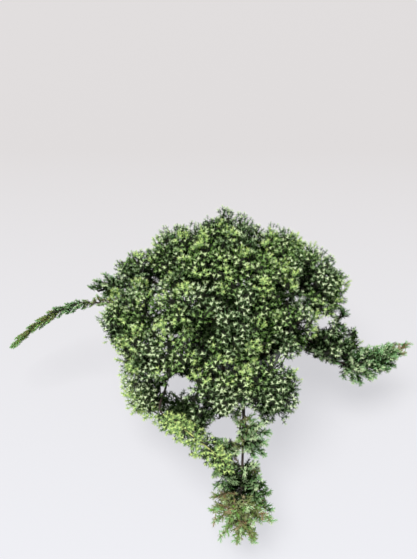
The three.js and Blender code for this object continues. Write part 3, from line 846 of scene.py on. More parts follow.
def run_tree(piece, tree, values):
    """Runs a geometry node tree on a piece and keeps the result as its plain mesh."""
    modifier = piece.modifiers.new(tree.name, "NODES")
    modifier.node_group = tree
    sockets = {item.name: item.identifier for item in tree.interface.items_tree if item.in_out == "INPUT"}
    for name, value in values.items():
        modifier[sockets[name]] = value
    mesh = settle(piece, modifier)
    for name in GROWING_ATTRIBUTES:
        if name in mesh.attributes:
            mesh.attributes.remove(mesh.attributes[name])
    drop_unused_materials(mesh)
    return piece


def drop_unused_materials(mesh):
    """Leaves only the material slots that a face wears."""
    worn = np.empty(len(mesh.polygons), np.int32)
    mesh.polygons.foreach_get("material_index", worn)
    kept = np.unique(worn)
    materials = [mesh.materials[i] for i in kept]
    mesh.materials.clear()
    for material in materials:
        mesh.materials.append(material)
    mesh.polygons.foreach_set("material_index", np.searchsorted(kept, worn).astype(np.int32))


def new_piece(name, vertices, edges=(), faces=()):
    """A mesh object at the origin. Vertices are in millimetres."""
    mesh = bpy.data.meshes.new(name)
    places = np.asarray(vertices, float).reshape(-1, 3) * MM
    mesh.from_pydata(places.tolist(), list(edges), list(faces))
    piece = bpy.data.objects.new(name, mesh)
    bpy.context.scene.collection.objects.link(piece)
    return piece


def add_attributes(piece, **columns):
    """Numbers or vectors on the points of a piece."""
    for name, values in columns.items():
        column = np.asarray(values, np.float32)
        of_vectors = column.ndim == 2
        layer = piece.data.attributes.new(name, "FLOAT_VECTOR" if of_vectors else "FLOAT", "POINT")
        layer.data.foreach_set("vector" if of_vectors else "value", column.ravel())


def smooth(piece, sharp_degrees):
    piece.data.shade_smooth()
    piece.data.set_sharp_from_angle(angle=math.radians(sharp_degrees))


def seat_piece(piece, slot, *nodes):
    """Hands a finished piece to the frame."""
    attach(piece, "root")
    if nodes:
        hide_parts(*nodes)


# The attributes that the trees work with, which a finished mesh doesn't need.
GROWING_ATTRIBUTES = (
    "aim", "size", "spin", "tone", "tone_below", "upper", "below", "thick", "relief", "dice",
)

# Finishes. Colours are plain base colours in linear light.
TONES = ("deep_shade", "shade", "blue", "leaf", "pale", "fresh", "young", "olive", "bronze")

# The share of pale bloom on the upper face of a needle of each tone: the needles' own bloom, and a painted
# highlight, strongest on the light tones of the best-lit shoots and none on the darkest.
BLOOM_AND_HIGHLIGHT_OF_TONE = dict(deep_shade=0.0, shade=0.05, blue=0.26, leaf=0.26, pale=0.85, fresh=0.75, young=0.35, olive=0.2,
                     bronze=0.3)

# The tones of a patch of foliage, from its darkest needles to its lightest, with the share of each. A shoot's
# painted light picks among them, so the darkest ones are painted shade.
PALETTES = {
    "cool": dict(deep_shade=0.16, shade=0.22, blue=0.38, pale=0.24),
    "warm": dict(deep_shade=0.12, shade=0.16, leaf=0.38, fresh=0.26, young=0.08),
    "tender": dict(deep_shade=0.06, shade=0.16, leaf=0.34, young=0.44),
    "tired": dict(deep_shade=0.04, shade=0.12, bronze=0.05, olive=0.47, leaf=0.16, pale=0.16),
    "bronzed": dict(bronze=1),
}

# What each look is made of: one palette, another, and the first one's share of the patches.
LOOKS = {
    "sunny": ("cool", "warm", 0.36),
    "fresh": ("cool", "warm", 0.40),
    "leafy": ("cool", "warm", 0.54),
    "shady": ("cool", "warm", 0.66),
    "blue": ("cool", "warm", 0.88),
    "olive": ("tired", "cool", 0.82),
    "young": ("tender", "tender", 1.0),
}
# The twigs' colours are their own dark bark, darkened further as painted shade in the gaps between shoots.
TWIG_GREEN = (0.013, 0.022, 0.007)
CRUMB_COLOUR = (0.10, 0.055, 0.032)
PERLITE_COLOUR = (0.55, 0.53, 0.48)
BARK_GREY = 0.2
DUST_GREY = 0.12
LAMP_COLOUR = (1.0, 0.985, 0.96)
FLOOR_REACH = 6000
FLOOR_SHADES = dict(nearest=-0.4, farthest=0.7)


def principled(name, colour, roughness):
    """A material with one shader, and its nodes for what is added."""
    material = bpy.data.materials.new(name)
    material.use_nodes = True
    material.node_tree.nodes.clear()
    nodes = Nodes(material.node_tree)
    surface = nodes.shader("BsdfPrincipled", Base_Color=(*colour, 1), Roughness=roughness)
    end = material.node_tree.nodes.new("ShaderNodeOutputMaterial")
    nodes.feed(end.inputs["Surface"], surface)
    return material, nodes, surface.node


def patterned(nodes, scale, detail, stretch=(1, 1, 1)):
    """Noise on object coordinates, from 0 to 1."""
    place = nodes.shader("TexCoord", out="Object")
    place = nodes.shader("Mapping", Vector=place, Scale=stretch)
    return nodes.shader("TexNoise", out="Fac", Vector=place, Scale=scale, Detail=detail)


def coloured(nodes, shader, share, *stops):
    """Colours a shader by a ramp through (place, colour) stops."""
    node = nodes.shader("ValToRGB", Fac=share).node
    while len(node.color_ramp.elements) < len(stops):
        node.color_ramp.elements.new(0.5)
    for element, (place, colour) in zip(node.color_ramp.elements, stops):
        element.position = place
        element.color = (*colour, 1)
    nodes.feed(shader.inputs["Base Color"], node.outputs["Color"])
    return node.outputs["Color"]


def bumped(nodes, shader, height, strength, distance):
    bump = nodes.shader("Bump", Height=height, Strength=strength, Distance=distance)
    nodes.feed(shader.inputs["Normal"], bump)


def weathered(name, colour, stops, roughness, scale, detail, strength, distance, stretch=(1, 1, 1)):
    """A material whose colour and relief follow one noise."""
    material, nodes, shader = principled(name, colour, roughness)
    height = patterned(nodes, scale, detail, stretch)
    coloured(nodes, shader, height, *stops)
    bumped(nodes, shader, height, strength, distance)
    return material


def times(colour, factor):
    return tuple(min(c * factor, 1) for c in colour)


def greyed(colour, grey, share):
    return tuple(lerp(c, grey, share) for c in colour)


def needle_materials(greens):
    """For each tone, the finish of a needle's green underside and of its paler upper face."""
    made = []
    for tone in TONES:
        colour = np.array(getattr(greens, tone))
        # The upper face: the needle's own pale bloom, partly a painted highlight on the light tones.
        pale = lerp(colour, np.array(greens.bloom), greens.bloom_share * BLOOM_AND_HIGHLIGHT_OF_TONE[tone])
        pair = []
        for name, shade in ((f"needles_{tone}", colour), (f"needles_{tone}_upper", pale)):
            material, _, shader = principled(name, shade, greens.roughness)
            shader.inputs["Specular IOR Level"].default_value = greens.gloss
            pair.append(material)
        made.append(pair)
    return made


def bark_material(colour):
    stops = ((0.3, times(colour, 0.35)), (0.52, colour), (0.72, greyed(colour, BARK_GREY, 0.1)))
    return weathered("bark", colour, stops, roughness=0.9, scale=210, detail=6.0, stretch=(1, 1, 0.35),
                     strength=0.7, distance=0.0006)


def twig_material(colour):
    stops = ((0.3, colour), (0.7, TWIG_GREEN))
    return weathered("twig_bark", colour, stops, roughness=0.75, scale=320, detail=4.0,
                     strength=0.4, distance=0.0003)


def soil_material(colour):
    stops = ((0.3, times(colour, 0.4)), (0.55, colour), (0.8, times(colour, 2.2)))
    return weathered("potting_mix", colour, stops, roughness=1.0, scale=260, detail=8.0,
                     strength=1.0, distance=0.0015)


def crumb_material(name, colour):
    stops = ((0.35, times(colour, 0.5)), (0.65, colour))
    return weathered(name, colour, stops, roughness=0.95, scale=700, detail=4.0,
                     strength=0.6, distance=0.0004)


def pot_material(colour):
    """Moulded plastic with a fine grain, dusty in patches."""
    material, nodes, shader = principled("pot_plastic", colour, roughness=0.42)
    dust = patterned(nodes, scale=34, detail=6.0)
    coloured(nodes, shader, dust, (0.5, colour), (0.74, greyed(colour, DUST_GREY, 0.35)))
    nodes.feed(shader.inputs["Roughness"], nodes.mixed(dust, low=0.34, high=0.6))
    bumped(nodes, shader, patterned(nodes, scale=1400, detail=2.0), strength=0.25, distance=0.0002)
    return material


def floor_material(stage):
    """A pale floor that gives back light of its own colour, from its near shade to its far one."""
    material, nodes, shader = principled("floor", stage.near_colour, roughness=0.85)
    place = nodes.shader("TexCoord", out="Object")
    depth = nodes.shader("SeparateXYZ", out="Y", Vector=place)
    nearest, farthest = FLOOR_SHADES["nearest"], FLOOR_SHADES["farthest"]
    share = nodes.shader("MapRange", Value=depth, From_Min=nearest, From_Max=farthest)
    colour = coloured(nodes, shader, share, (0.0, stage.near_colour), (1.0, stage.far_colour))
    nodes.feed(shader.inputs["Emission Color"], colour)
    shader.inputs["Emission Strength"].default_value = stage.floor_glow
    return material


# How the ridges' noise is stretched: they run along the limbs, which mostly rise.
RIDGE_STRETCH = (1.0, 1.0, 0.3)


def limb_tree(material):
    """Tubes along polylines, whose radius is an attribute, with ridges and lumps of bark."""
    nodes = GeometryTree("Bark limbs")
    ring = nodes.geometry("CurvePrimitiveCircle", Resolution=nodes.whole("Sides", 12), Radius=1.0)
    curve = nodes.geometry("MeshToCurve", Mesh=nodes.start.outputs[0])
    mesh = nodes.geometry("CurveToMesh", Curve=curve, Profile_Curve=ring, Scale=nodes.attribute("thick"),
                          Fill_Caps=nodes.input("Caps", "Bool", True))
    place = nodes.geometry("InputPosition")
    long_way = nodes.shader("VectorMath", {0: place, 1: RIDGE_STRETCH}, operation="MULTIPLY")
    swells = []
    for name, depth, scale, where, detail in (("Ridge", 0.0006, 260.0, long_way, 3.0),
                                              ("Lump", 0.0009, 90.0, place, 1.0)):
        depth = nodes.number(f"{name} depth", depth)
        scale = nodes.number(f"{name} scale", scale)
        swell = nodes.shader("TexNoise", out="Fac", Vector=where, Scale=scale, Detail=detail)
        swell = nodes.maths("SUBTRACT", swell, 0.5)
        swells.append(nodes.maths("MULTIPLY", swell, nodes.maths("MULTIPLY", depth, 2.0)))
    rise = nodes.maths("MULTIPLY", nodes.maths("ADD", *swells), nodes.attribute("relief"))
    normal = nodes.geometry("InputNormal")
    offset = nodes.shader("VectorMath", {0: normal, "Scale": rise}, operation="SCALE")
    mesh = nodes.geometry("SetPosition", Geometry=mesh, Offset=offset)
    return nodes.finish(mesh, (material, None))


# The make-up of a shoot. Angles are in radians.
# The powers say how late towards the tip the needles close in and shorten. The highest one's size is a share.
# A face of a needle is its upper one where it looks far enough along -X.
IN_WHORL = 3.0
WHORL_TURN = math.pi / 3 + 0.12
LEAN_POWER = 1.4
TAPER_POWER = 3.0
TIP_NEEDLE = 0.62
STRAY = 0.16
STRAY_SEED = 5
UPPER_FACING = -0.8


def needled_shoots_tree(materials):
    """A shoot clad in whorls of three needles, stood on each point with its aim, size, spin and tone."""
    nodes = GeometryTree("Needled shoots")
    length, width, thickness, clad, foot_lean, tip_lean, stalk = [nodes.number(name) for name in (
        "Needle length", "Needle width", "Needle thickness share", "Clad length",
        "Lean of the lowest needles", "Lean of the highest needles", "Stalk length")]
    whorls = nodes.whole("Whorls")
    stalk_radius = nodes.number("Stalk radius", 0.0006)
    # The lowest whorls wear the darker tone below: their own older green, and painted shade at the foot of
    # each shoot.
    older = nodes.number("Share of older needles", 0.45)

    # One needle: a slim three-sided awl whose flat upper face looks along -X.
    cone = dict(Vertices=3, Side_Segments=1, Radius_Top=0.0, fill_type="NONE")
    radius = nodes.maths("DIVIDE", width, math.sqrt(3))
    awl = nodes.geometry("MeshCone", Radius_Bottom=radius, Depth=length, **cone)
    flatten = nodes.shader("CombineXYZ", X=thickness, Y=1.0, Z=1.0)
    awl = nodes.geometry("Transform", Geometry=awl, Scale=flatten)
    facing = nodes.shader("SeparateXYZ", out="X", Vector=nodes.geometry("InputNormal"))
    awl = nodes.stored(awl, "upper", nodes.maths("LESS_THAN", facing, UPPER_FACING), "FACE")

    # The whorls, from the lowest needles to the tip of the shoot at the origin.
    line = nodes.geometry("MeshLine", Count=nodes.maths("MULTIPLY", whorls, IN_WHORL))
    index = nodes.geometry("InputIndex")
    whorl = nodes.maths("FLOOR", nodes.maths("DIVIDE", index, IN_WHORL))
    share = nodes.maths("DIVIDE", whorl, nodes.maths("SUBTRACT", whorls, 1.0))
    height = nodes.maths("MULTIPLY", nodes.maths("SUBTRACT", share, 1.0), clad)
    line = nodes.geometry("SetPosition", Geometry=line, Position=nodes.shader("CombineXYZ", Z=height))
    lean = nodes.mixed(nodes.maths("POWER", share, LEAN_POWER), foot_lean, tip_lean)
    turn = nodes.maths("MULTIPLY", index, 2 * math.pi / IN_WHORL)
    turn = nodes.maths("ADD", turn, nodes.maths("MULTIPLY", whorl, WHORL_TURN))
    stray = nodes.function("RandomValue", {2: -STRAY, 3: STRAY}, out=1, Seed=STRAY_SEED, data_type="FLOAT")
    angles = nodes.shader("CombineXYZ", X=stray, Y=nodes.maths("ADD", lean, stray), Z=turn)
    rotation = nodes.function("EulerToRotation", Euler=angles)
    taper = nodes.mixed(nodes.maths("POWER", share, TAPER_POWER), 1.0, TIP_NEEDLE)
    needles = nodes.geometry("InstanceOnPoints", Points=line, Instance=awl, Rotation=rotation, Scale=taper)
    needles = nodes.stored(needles, "below", nodes.maths("LESS_THAN", share, older), "INSTANCE")
    axis = nodes.geometry("MeshCone", Radius_Bottom=stalk_radius, Depth=stalk, **cone)
    down = nodes.shader("CombineXYZ", Z=nodes.maths("MULTIPLY", stalk, -1.0))
    axis = nodes.geometry("Transform", Geometry=axis, Translation=down)
    shoot = nodes.geometry("RealizeInstances", Geometry=nodes.joined(needles, axis))

    # A shoot on every point.
    aim = nodes.attribute("aim", "FLOAT_VECTOR")
    upright = nodes.function("AlignRotationToVector", Vector=aim, axis="Z")
    spin = nodes.function("AxisAngleToRotation", Axis=(0, 0, 1), Angle=nodes.attribute("spin"))
    rotation = nodes.function("RotateRotation", Rotation=upright, Rotate_By=spin, rotation_space="LOCAL")
    shoots = nodes.geometry("InstanceOnPoints", Points=nodes.start.outputs[0], Instance=shoot,
                            Rotation=rotation, Scale=nodes.attribute("size"))
    below = nodes.attribute("below")
    tone = nodes.mixed(below, nodes.attribute("tone"), nodes.attribute("tone_below"))
    upper = nodes.attribute("upper")
    chosen = []
    for number, (under_material, upper_material) in enumerate(materials):
        this_tone = nodes.maths("COMPARE", tone, float(number), 0.1)
        chosen.append((under_material, this_tone))
        chosen.append((upper_material, nodes.maths("MULTIPLY", this_tone, upper)))
    return nodes.finish(shoots, *chosen)


# The crumbs are turned every way, and their three half sizes lie between two shapes.
CRUMB_TURN = 3.2
CRUMB_SHAPES = ((0.45, 0.3, 0.25), (1.6, 1.0, 0.8))
DICE_SEED = 3


def crumbs_tree(bark_crumb, perlite):
    """Crumbs of bark and grains of perlite on the faces of a surface."""
    nodes = GeometryTree("Soil crumbs")
    density = nodes.number("Crumbs per square metre", 90000.0)
    small = nodes.number("Smallest crumb", 0.0006)
    large = nodes.number("Largest crumb")
    pale = nodes.number("Share of perlite")
    seed = nodes.whole("Seed", 11)
    surface = nodes.start.outputs[0]
    points = nodes.geometry("DistributePointsOnFaces", Mesh=surface, Density=density, Seed=seed)
    crumb = nodes.geometry("MeshIcoSphere", Radius=1.0, Subdivisions=1)
    random = dict(Seed=seed, data_type="FLOAT_VECTOR")
    turn = nodes.function("RandomValue", Min=(-CRUMB_TURN,) * 3, Max=(CRUMB_TURN,) * 3, **random)
    shape = nodes.function("RandomValue", Min=CRUMB_SHAPES[0], Max=CRUMB_SHAPES[1], **random)
    size = nodes.function("RandomValue", {2: small, 3: large}, out=1, Seed=seed, data_type="FLOAT")
    scale = nodes.shader("VectorMath", {0: shape, "Scale": size}, operation="SCALE")
    crumbs = nodes.geometry("InstanceOnPoints", Points=points, Instance=crumb, Scale=scale,
                            Rotation=nodes.function("EulerToRotation", Euler=turn))
    dice = nodes.function("RandomValue", out=1, Seed=DICE_SEED, data_type="FLOAT")
    crumbs = nodes.stored(crumbs, "dice", dice, "INSTANCE")
    is_pale = nodes.maths("LESS_THAN", nodes.attribute("dice"), pale)
    return nodes.finish(crumbs, (bark_crumb, None), (perlite, is_pale))


def ribs_tree(material):
    """Upright ribs in a ring, joined to the wall that comes in."""
    nodes = GeometryTree("Pot ribs")
    count = nodes.whole("Ribs")
    radius, rise, width, proud, slant, foot = [nodes.number(name) for name in (
        "Radius at the ribs' feet", "Rib height", "Rib width", "Rib depth", "Slant of the wall",
        "Height of the ribs' feet")]
    ring = nodes.geometry("MeshCircle", Vertices=count, Radius=radius)
    turn = nodes.maths("MULTIPLY", nodes.maths("DIVIDE", nodes.geometry("InputIndex"), count), 2 * math.pi)
    rotation = nodes.function("EulerToRotation", Euler=nodes.shader("CombineXYZ", Y=slant, Z=turn))
    size = nodes.shader("CombineXYZ", X=proud, Y=width, Z=rise)
    rib = nodes.geometry("MeshCube", Size=size, Vertices_X=2, Vertices_Y=2, Vertices_Z=2)
    lift = nodes.shader("CombineXYZ", Z=nodes.maths("MULTIPLY", rise, 0.5))
    rib = nodes.geometry("Transform", Geometry=rib, Translation=lift)
    ribs = nodes.geometry("InstanceOnPoints", Points=ring, Instance=rib, Rotation=rotation)
    lift = nodes.shader("CombineXYZ", Z=foot)
    ribs = nodes.geometry("Transform", Geometry=ribs, Translation=lift)
    return nodes.finish(nodes.joined(nodes.start.outputs[0], ribs), (material, None))


# Settings that a user would change.
def length_property(name, description, default):
    return bpy.props.FloatProperty(
        name=name, description=description, default=default, unit="LENGTH", subtype="DISTANCE", precision=4)


def colour_property(name, description, default):
    return bpy.props.FloatVectorProperty(
        name=name, description=description, default=default, size=3, min=0, max=1, subtype="COLOR")


def angle_property(name, description, degrees):
    return bpy.props.FloatProperty(
        name=name, description=description, default=math.radians(degrees), unit="ROTATION", subtype="ANGLE")


def share_property(name, description, default):
    return bpy.props.FloatProperty(
        name=name, description=description, default=default, min=0, max=1, subtype="FACTOR")


def strength_property(name, description, default):
    return bpy.props.FloatProperty(name=name, description=description, default=default, min=0)


def count_property(name, description, default, least):
    return bpy.props.IntProperty(name=name, description=description, default=default, min=least)


def place_property(name, description, default):
    return bpy.props.FloatVectorProperty(
        name=name, description=description, default=default, subtype="XYZ", unit="LENGTH")


class JUNIPER_PG_pot(bpy.types.PropertyGroup):
    segments: count_property("Segments", "Flat sides round the pot", 96, 24)
    ribs: count_property("Ribs", "Upright ribs on the wall", 24, 3)
    rib_depth: length_property("Rib depth", "How far a rib stands out of the wall", 0.0014)
    colour: colour_property("Plastic", "Colour of the moulded plastic", (0.016, 0.017, 0.018))


class JUNIPER_PG_soil(bpy.types.PropertyGroup):
    lumps: length_property("Lumps", "How uneven the top of the mix is", 0.0022)
    crumb: length_property("Largest crumb", "Half size of the largest crumb of bark", 0.0028)
    perlite: share_property("Perlite", "Share of the crumbs that are pale perlite", 0.05)
    colour: colour_property("Potting mix", "Colour of the damp mix", (0.045, 0.027, 0.016))


class JUNIPER_PG_bark(bpy.types.PropertyGroup):
    ridges: length_property("Ridges", "Depth of the ridges of bark", 0.0006)
    lumps: length_property("Lumps", "Depth of the swellings of the limbs", 0.0009)
    colour: colour_property("Bark", "Colour of the flaking bark", (0.032, 0.020, 0.015))
    # The twigs' colour is partly their own dark bark, partly painted shade in the gaps between shoots.
    twig_colour: colour_property("Twigs", "Colour of the thin twigs", (0.014, 0.011, 0.006))
    green_stem: colour_property("Green stem", "Colour of the youngest runner's stem", (0.36, 0.40, 0.12))


class JUNIPER_PG_needles(bpy.types.PropertyGroup):
    length: length_property("Needle length", "Length of a full needle", 0.0047)
    width: length_property("Needle width", "Width of a needle at its foot", 0.0015)
    thickness: share_property("Thickness", "A needle's thickness for its width", 0.4)
    whorls: count_property("Whorls", "Whorls of three needles on a shoot", 4, 2)
    clad: length_property("Clad length", "Stretch of a shoot that carries needles", 0.0044)
    foot_lean: angle_property("Lowest lean", "How far the lowest needles lean out", 74)
    tip_lean: angle_property("Highest lean", "How far the highest needles lean out", 40)


class JUNIPER_PG_greens(bpy.types.PropertyGroup):
    # The near-black needles inside the mound and the dark green shade needles are painted shade.
    deep_shade: colour_property("Deep", "Needles inside the mound", (0.003, 0.008, 0.0015))
    shade: colour_property("Shade", "Dark green needles", (0.014, 0.038, 0.007))
    blue: colour_property("Blue", "Blue-green needles", (0.095, 0.21, 0.07))
    leaf: colour_property("Leaf", "Mid green needles", (0.125, 0.30, 0.04))
    pale: colour_property("Pale", "Light blue-green needles", (0.20, 0.40, 0.17))
    olive: colour_property("Olive", "Older green needles", (0.17, 0.22, 0.065))
    fresh: colour_property("Fresh", "Fresh light green needles", (0.24, 0.45, 0.08))
    young: colour_property("Young", "Yellow-green needles of new growth", (0.44, 0.60, 0.13))
    bronze: colour_property("Bronze", "Bronzed needles", (0.24, 0.165, 0.08))
    # The bloom is partly the needles' own pale bands, partly a painted highlight in place of their sheen.
    bloom: colour_property("Bloom", "Pale bloom on the needles' upper faces", (0.79, 0.86, 0.57))
    bloom_share: share_property("Bloom share", "How much of the bloom shows", 0.8)
    roughness: share_property("Roughness", "Roughness of the needles", 0.7)
    gloss: share_property("Gloss", "How much the needles mirror the sky", 0.0)


class JUNIPER_PG_stage(bpy.types.PropertyGroup):
    near_colour: colour_property("Near floor", "Colour of the floor in front", (0.111, 0.112, 0.119))
    far_colour: colour_property("Far floor", "Colour of the floor behind", (0.093, 0.090, 0.091))
    floor_glow: strength_property("Floor glow", "Light that the pale floor gives back, for its colour", 5.7)
    target: place_property("Target", "Where the camera looks", CAMERA["target"])
    distance: length_property("Distance", "From the target to the camera", CAMERA["distance"])
    elevation: angle_property("Elevation", "How steeply the camera looks down", CAMERA["elevation"])
    focal_pixels: strength_property(
        "Focal length", "In pixels of the photograph's frame", CAMERA["focal_pixels"])
    sky_colour: colour_property("Sky", "Colour of the light from all round", (0.95, 0.97, 0.92))
    sky_strength: strength_property("Sky strength", "Light from all round", 0.36)
    sun_strength: strength_property("Overhead strength", "Light from above", 5.2)
    sun_softness: angle_property("Overhead softness", "How wide the overhead light is", 40)
    sun_from: place_property("Overhead from", "Where the overhead light stands", (-0.4, -0.2, 1.5))


# How light a shoot's needles are, from 0 to 1: by its patch, its clump and chance, which vary their own
# colour, and by the clump's slope and its level in it, which are painted light on the tops and painted shade
# on the sides and in the valleys.
# A growth's number is added, and buried shoots and older needles keep a share of the light, as painted shade
# inside the mound and, with their own older green, at the foot of each shoot.
LIGHT_WEIGHTS = dict(patch=0.2, clump=0.1, exposure=0.2, level=0.34, chance=0.16)
LIGHT_MIDDLE = 0.47
LIGHT_CONTRAST = 2.4
LIGHT_OF_GROWTH = dict(dense=0.1, open=0.06, runner=0.1, tufted=-0.18)
LIGHTEST = 0.999
BURIED_PAINTED_LIGHT = 0.3
OLDER_PAINTED_LIGHT = 0.3

# The patches of light and of hue: how wide and how strong they are.
# Those of hue are shifted, so that the two don't fall together, and a share of the hue is the clump's own.
PATCHES = dict(width=30.0, contrast=0.8)
HUES = dict(width=46.0, contrast=1.1, shift=Vector((7.0, 3.0, 5.0)), of_clump=0.25)

# How the shoots of each kind of growth differ from the needles' settings: by factors, and by whorls added.
SHOOTS = {
    "dense": dict(needle=1.0, width=1.0, clad=1.0, lean=1.0, whorls=0),
    "open": dict(needle=1.2, width=1.1, clad=1.9, lean=0.68, whorls=1),
    "runner": dict(needle=0.8, width=1.1, clad=1.0, lean=0.6, whorls=-1),
    "tufted": dict(needle=0.95, width=1.0, clad=1.0, lean=1.0, whorls=0),
}
STALK_OF_CLAD = 1.5

# Which masses' needles go into one piece. Each mass is named once, as one without a piece would stay bare.
NEEDLE_PIECES = {
    "needles_crown": ("crown", "crown_right"),
    "needles_centre": ("centre", "front_centre"),
    "needles_back": ("back_top", "back_left", "back_right"),
    "needles_right": ("right_upper", "right_middle"),
    "needles_left": ("left_upper", "left", "left_lower"),
    "needles_left_hanging": ("left_hanging", "front_left", "centre_lower"),
    "needles_front": ("front", "front_right"),
    "needles_rear": ("rear_left", "rear", "rear_right"),
    "needles_right_cluster": ("right_cluster",),
    "needles_right_leader": ("right_leader", "right_sprig"),
    "needles_left_leader": ("left_leader",),
    "needles_left_runner": ("left_runner",),
    "needles_front_leader": ("front_leader", "front_leader_right", "front_leader_left"),
    "needles_yellow_runner": ("yellow_runner",),
}


def lathe(profile, segments, axis=()):
    """Rings of a profile turned about Z, with outward faces. Two heights of the axis close its ends."""
    turns = np.arange(segments) * 2 * math.pi / segments
    vertices = [(r * math.cos(t), r * math.sin(t), height) for r, height in profile for t in turns]
    faces = []
    for row in range(len(profile) - 1):
        for k in range(segments):
            after = (k + 1) % segments
            low, high = row * segments, (row + 1) * segments
            faces.append((low + k, low + after, high + after, high + k))
    if axis:
        last = len(vertices)
        top = last - segments
        vertices += [(0, 0, height) for height in axis]
        for k in range(segments):
            after = (k + 1) % segments
            faces.append((last, after, k))
            faces.append((last + 1, top + k, top + after))
    return vertices, faces


def pot_profile():
    """The pot's section, from the middle of its underside up the outside and down the inside."""
    foot, rim, top, thick = POT_FOOT_RADIUS, POT_RIM_RADIUS, POT_HEIGHT, POT_WALL
    band = top - RIM_BAND_HEIGHT

    def wall(height, less=0):
        return pot_radius(height) - RIM_BAND_PROUD - less

    underside = [(POT_MIDDLE, 0), (DRAIN_CIRCLE + 7, 0), (foot - 1.6, 0), (foot - 0.5, 0.5)]
    lower_wall = [(foot, 1.6), (foot - 1.2, 3.6), (wall(5), 5.2), (wall(55), 55)]
    step = [(wall(56, 0.6), 56), (wall(58, 0.6), 58), (wall(59), 59), (wall(band, 0.2), band - 0.8)]
    rim_band = [(wall(band, -0.6), band), (rim - 0.9, band), (rim - 0.4, band + 0.5), (rim - 0.1, top - 2.2)]
    lip = [(rim, top - 1.2), (rim - 0.4, top - 0.3), (rim - 1.2, top), (wall(top, 1.2), top)]
    inside = [(wall(top, 2.0), top - 0.6), (wall(top - 3, thick), top - 3)]
    floor = [(wall(thick, thick), thick), (POT_MIDDLE, thick)]
    return underside + lower_wall + step + rim_band + lip + inside + floor


class JUNIPER_OT_pot(bpy.types.Operator):
    """Moulds the nursery pot, with its rim, ribs and drain holes"""

    bl_idname = "juniper.pot"
    bl_label = "Pot"

    def execute(self, context):
        settings = context.scene.juniper_pot
        material = pot_material(settings.colour)
        vertices, faces = lathe(pot_profile(), settings.segments, axis=(0, POT_WALL))
        pot = new_piece("pot_shell", vertices, faces=faces)
        pot.data.materials.append(material)
        drill_drain_holes(pot)
        radius = pot_radius(RIBS["foot"]) - RIM_BAND_PROUD - RIBS["sunk"]
        run_tree(pot, ribs_tree(material), {
            "Ribs": settings.ribs,
            "Radius at the ribs' feet": radius * MM,
            "Rib height": RIBS["height"] * MM,
            "Rib width": RIBS["width"] * MM,
            "Rib depth": 2 * settings.rib_depth,
            "Slant of the wall": math.atan((POT_RIM_RADIUS - POT_FOOT_RADIUS) / POT_HEIGHT),
            "Height of the ribs' feet": RIBS["foot"] * MM,
        })
        smooth(pot, sharp_degrees=35)
        seat_piece(pot, "pot", "pot")
        return {"FINISHED"}


def drill_drain_holes(pot):
    """Cuts the ring of round drain holes out of the pot's floor."""
    group = bpy.data.collections.new("drills")
    for number in range(DRAIN_HOLES):
        turn = number / DRAIN_HOLES * 2 * math.pi
        centre = (DRAIN_CIRCLE * math.cos(turn), DRAIN_CIRCLE * math.sin(turn))
        ends = [(DRAIN_RADIUS, -DRILL_SPARE), (DRAIN_RADIUS, POT_WALL + DRILL_SPARE)]
        vertices, faces = lathe(ends, DRAIN_SIDES)
        faces += [tuple(reversed(range(DRAIN_SIDES))), tuple(range(DRAIN_SIDES, 2 * DRAIN_SIDES))]
        placed = [(x + centre[0], y + centre[1], z) for x, y, z in vertices]
        group.objects.link(new_piece(f"drill_{number}", placed, faces=faces))
    modifier = pot.modifiers.new("Drain holes", "BOOLEAN")
    modifier.operand_type = "COLLECTION"
    modifier.collection = group
    modifier.solver = "EXACT"
    settle(pot, modifier)
    for drill in list(group.objects):
        bpy.data.objects.remove(drill)
    bpy.data.collections.remove(group)


class JUNIPER_OT_soil(bpy.types.Operator):
    """Fills the pot with crumbly potting mix"""

    bl_idname = "juniper.soil"
    bl_label = "Potting mix"

    def execute(self, context):
        settings = context.scene.juniper_soil
        edge, floor, top = SOIL_LEVEL - SOIL_DROP, POT_WALL + SOIL_GAP["floor"], SOIL_LEVEL - SOIL_GAP["top"]
        reach = pot_radius(edge) - RIM_BAND_PROUD - POT_WALL - SOIL_GAP["side"]
        foot = pot_radius(POT_WALL) - RIM_BAND_PROUD - POT_WALL - SOIL_GAP["foot"]
        profile = [(foot, floor), (reach, edge)]
        for ring in range(1, SOIL_RINGS):
            radius = reach * (1 - ring / SOIL_RINGS)
            share = clamp((reach - radius) / (reach - POT_MIDDLE), 0, 1)
            profile.append((radius, lerp(edge, top, share)))
        vertices, faces = lathe(profile, SOIL_SIDES, axis=(floor, top))
        lumpy = [lumped(number, place, settings.lumps / MM, len(vertices) - 2)
                 for number, place in enumerate(vertices)]
        soil = new_piece("potting_mix", lumpy, faces=faces)
        soil.data.materials.append(soil_material(settings.colour))
        smooth(soil, sharp_degrees=60)
        seat_piece(soil, "soil", "soil")
        surface = new_piece("soil_crumbs", lumpy, faces=[f for f in faces if min(f) >= SOIL_SIDES])
        crumb, perlite = crumb_material("bark_crumb", CRUMB_COLOUR), crumb_material("perlite", PERLITE_COLOUR)
        values = {"Largest crumb": settings.crumb, "Share of perlite": settings.perlite}
        seat_piece(run_tree(surface, crumbs_tree(crumb, perlite), values), "soil")
        return {"FINISHED"}


def lumped(number, place, depth, bottom):
    """A point of the mix raised or sunk, less at the pot's wall, and not at all on its underside."""
    x, y, z = place
    if number < SOIL_SIDES or number == bottom:
        return place
    spot = Vector((x, y, 0)) / SOIL_LUMPS["width"]
    lift = noise.fractal(spot, SOIL_LUMPS["roughness"], SOIL_LUMPS["finer"], SOIL_LUMPS["octaves"])
    kept = SOIL_LUMPS["at_edge"] if number < 2 * SOIL_SIDES else 1
    return x, y, z + lift * depth * SOIL_LUMPS["share"] * kept


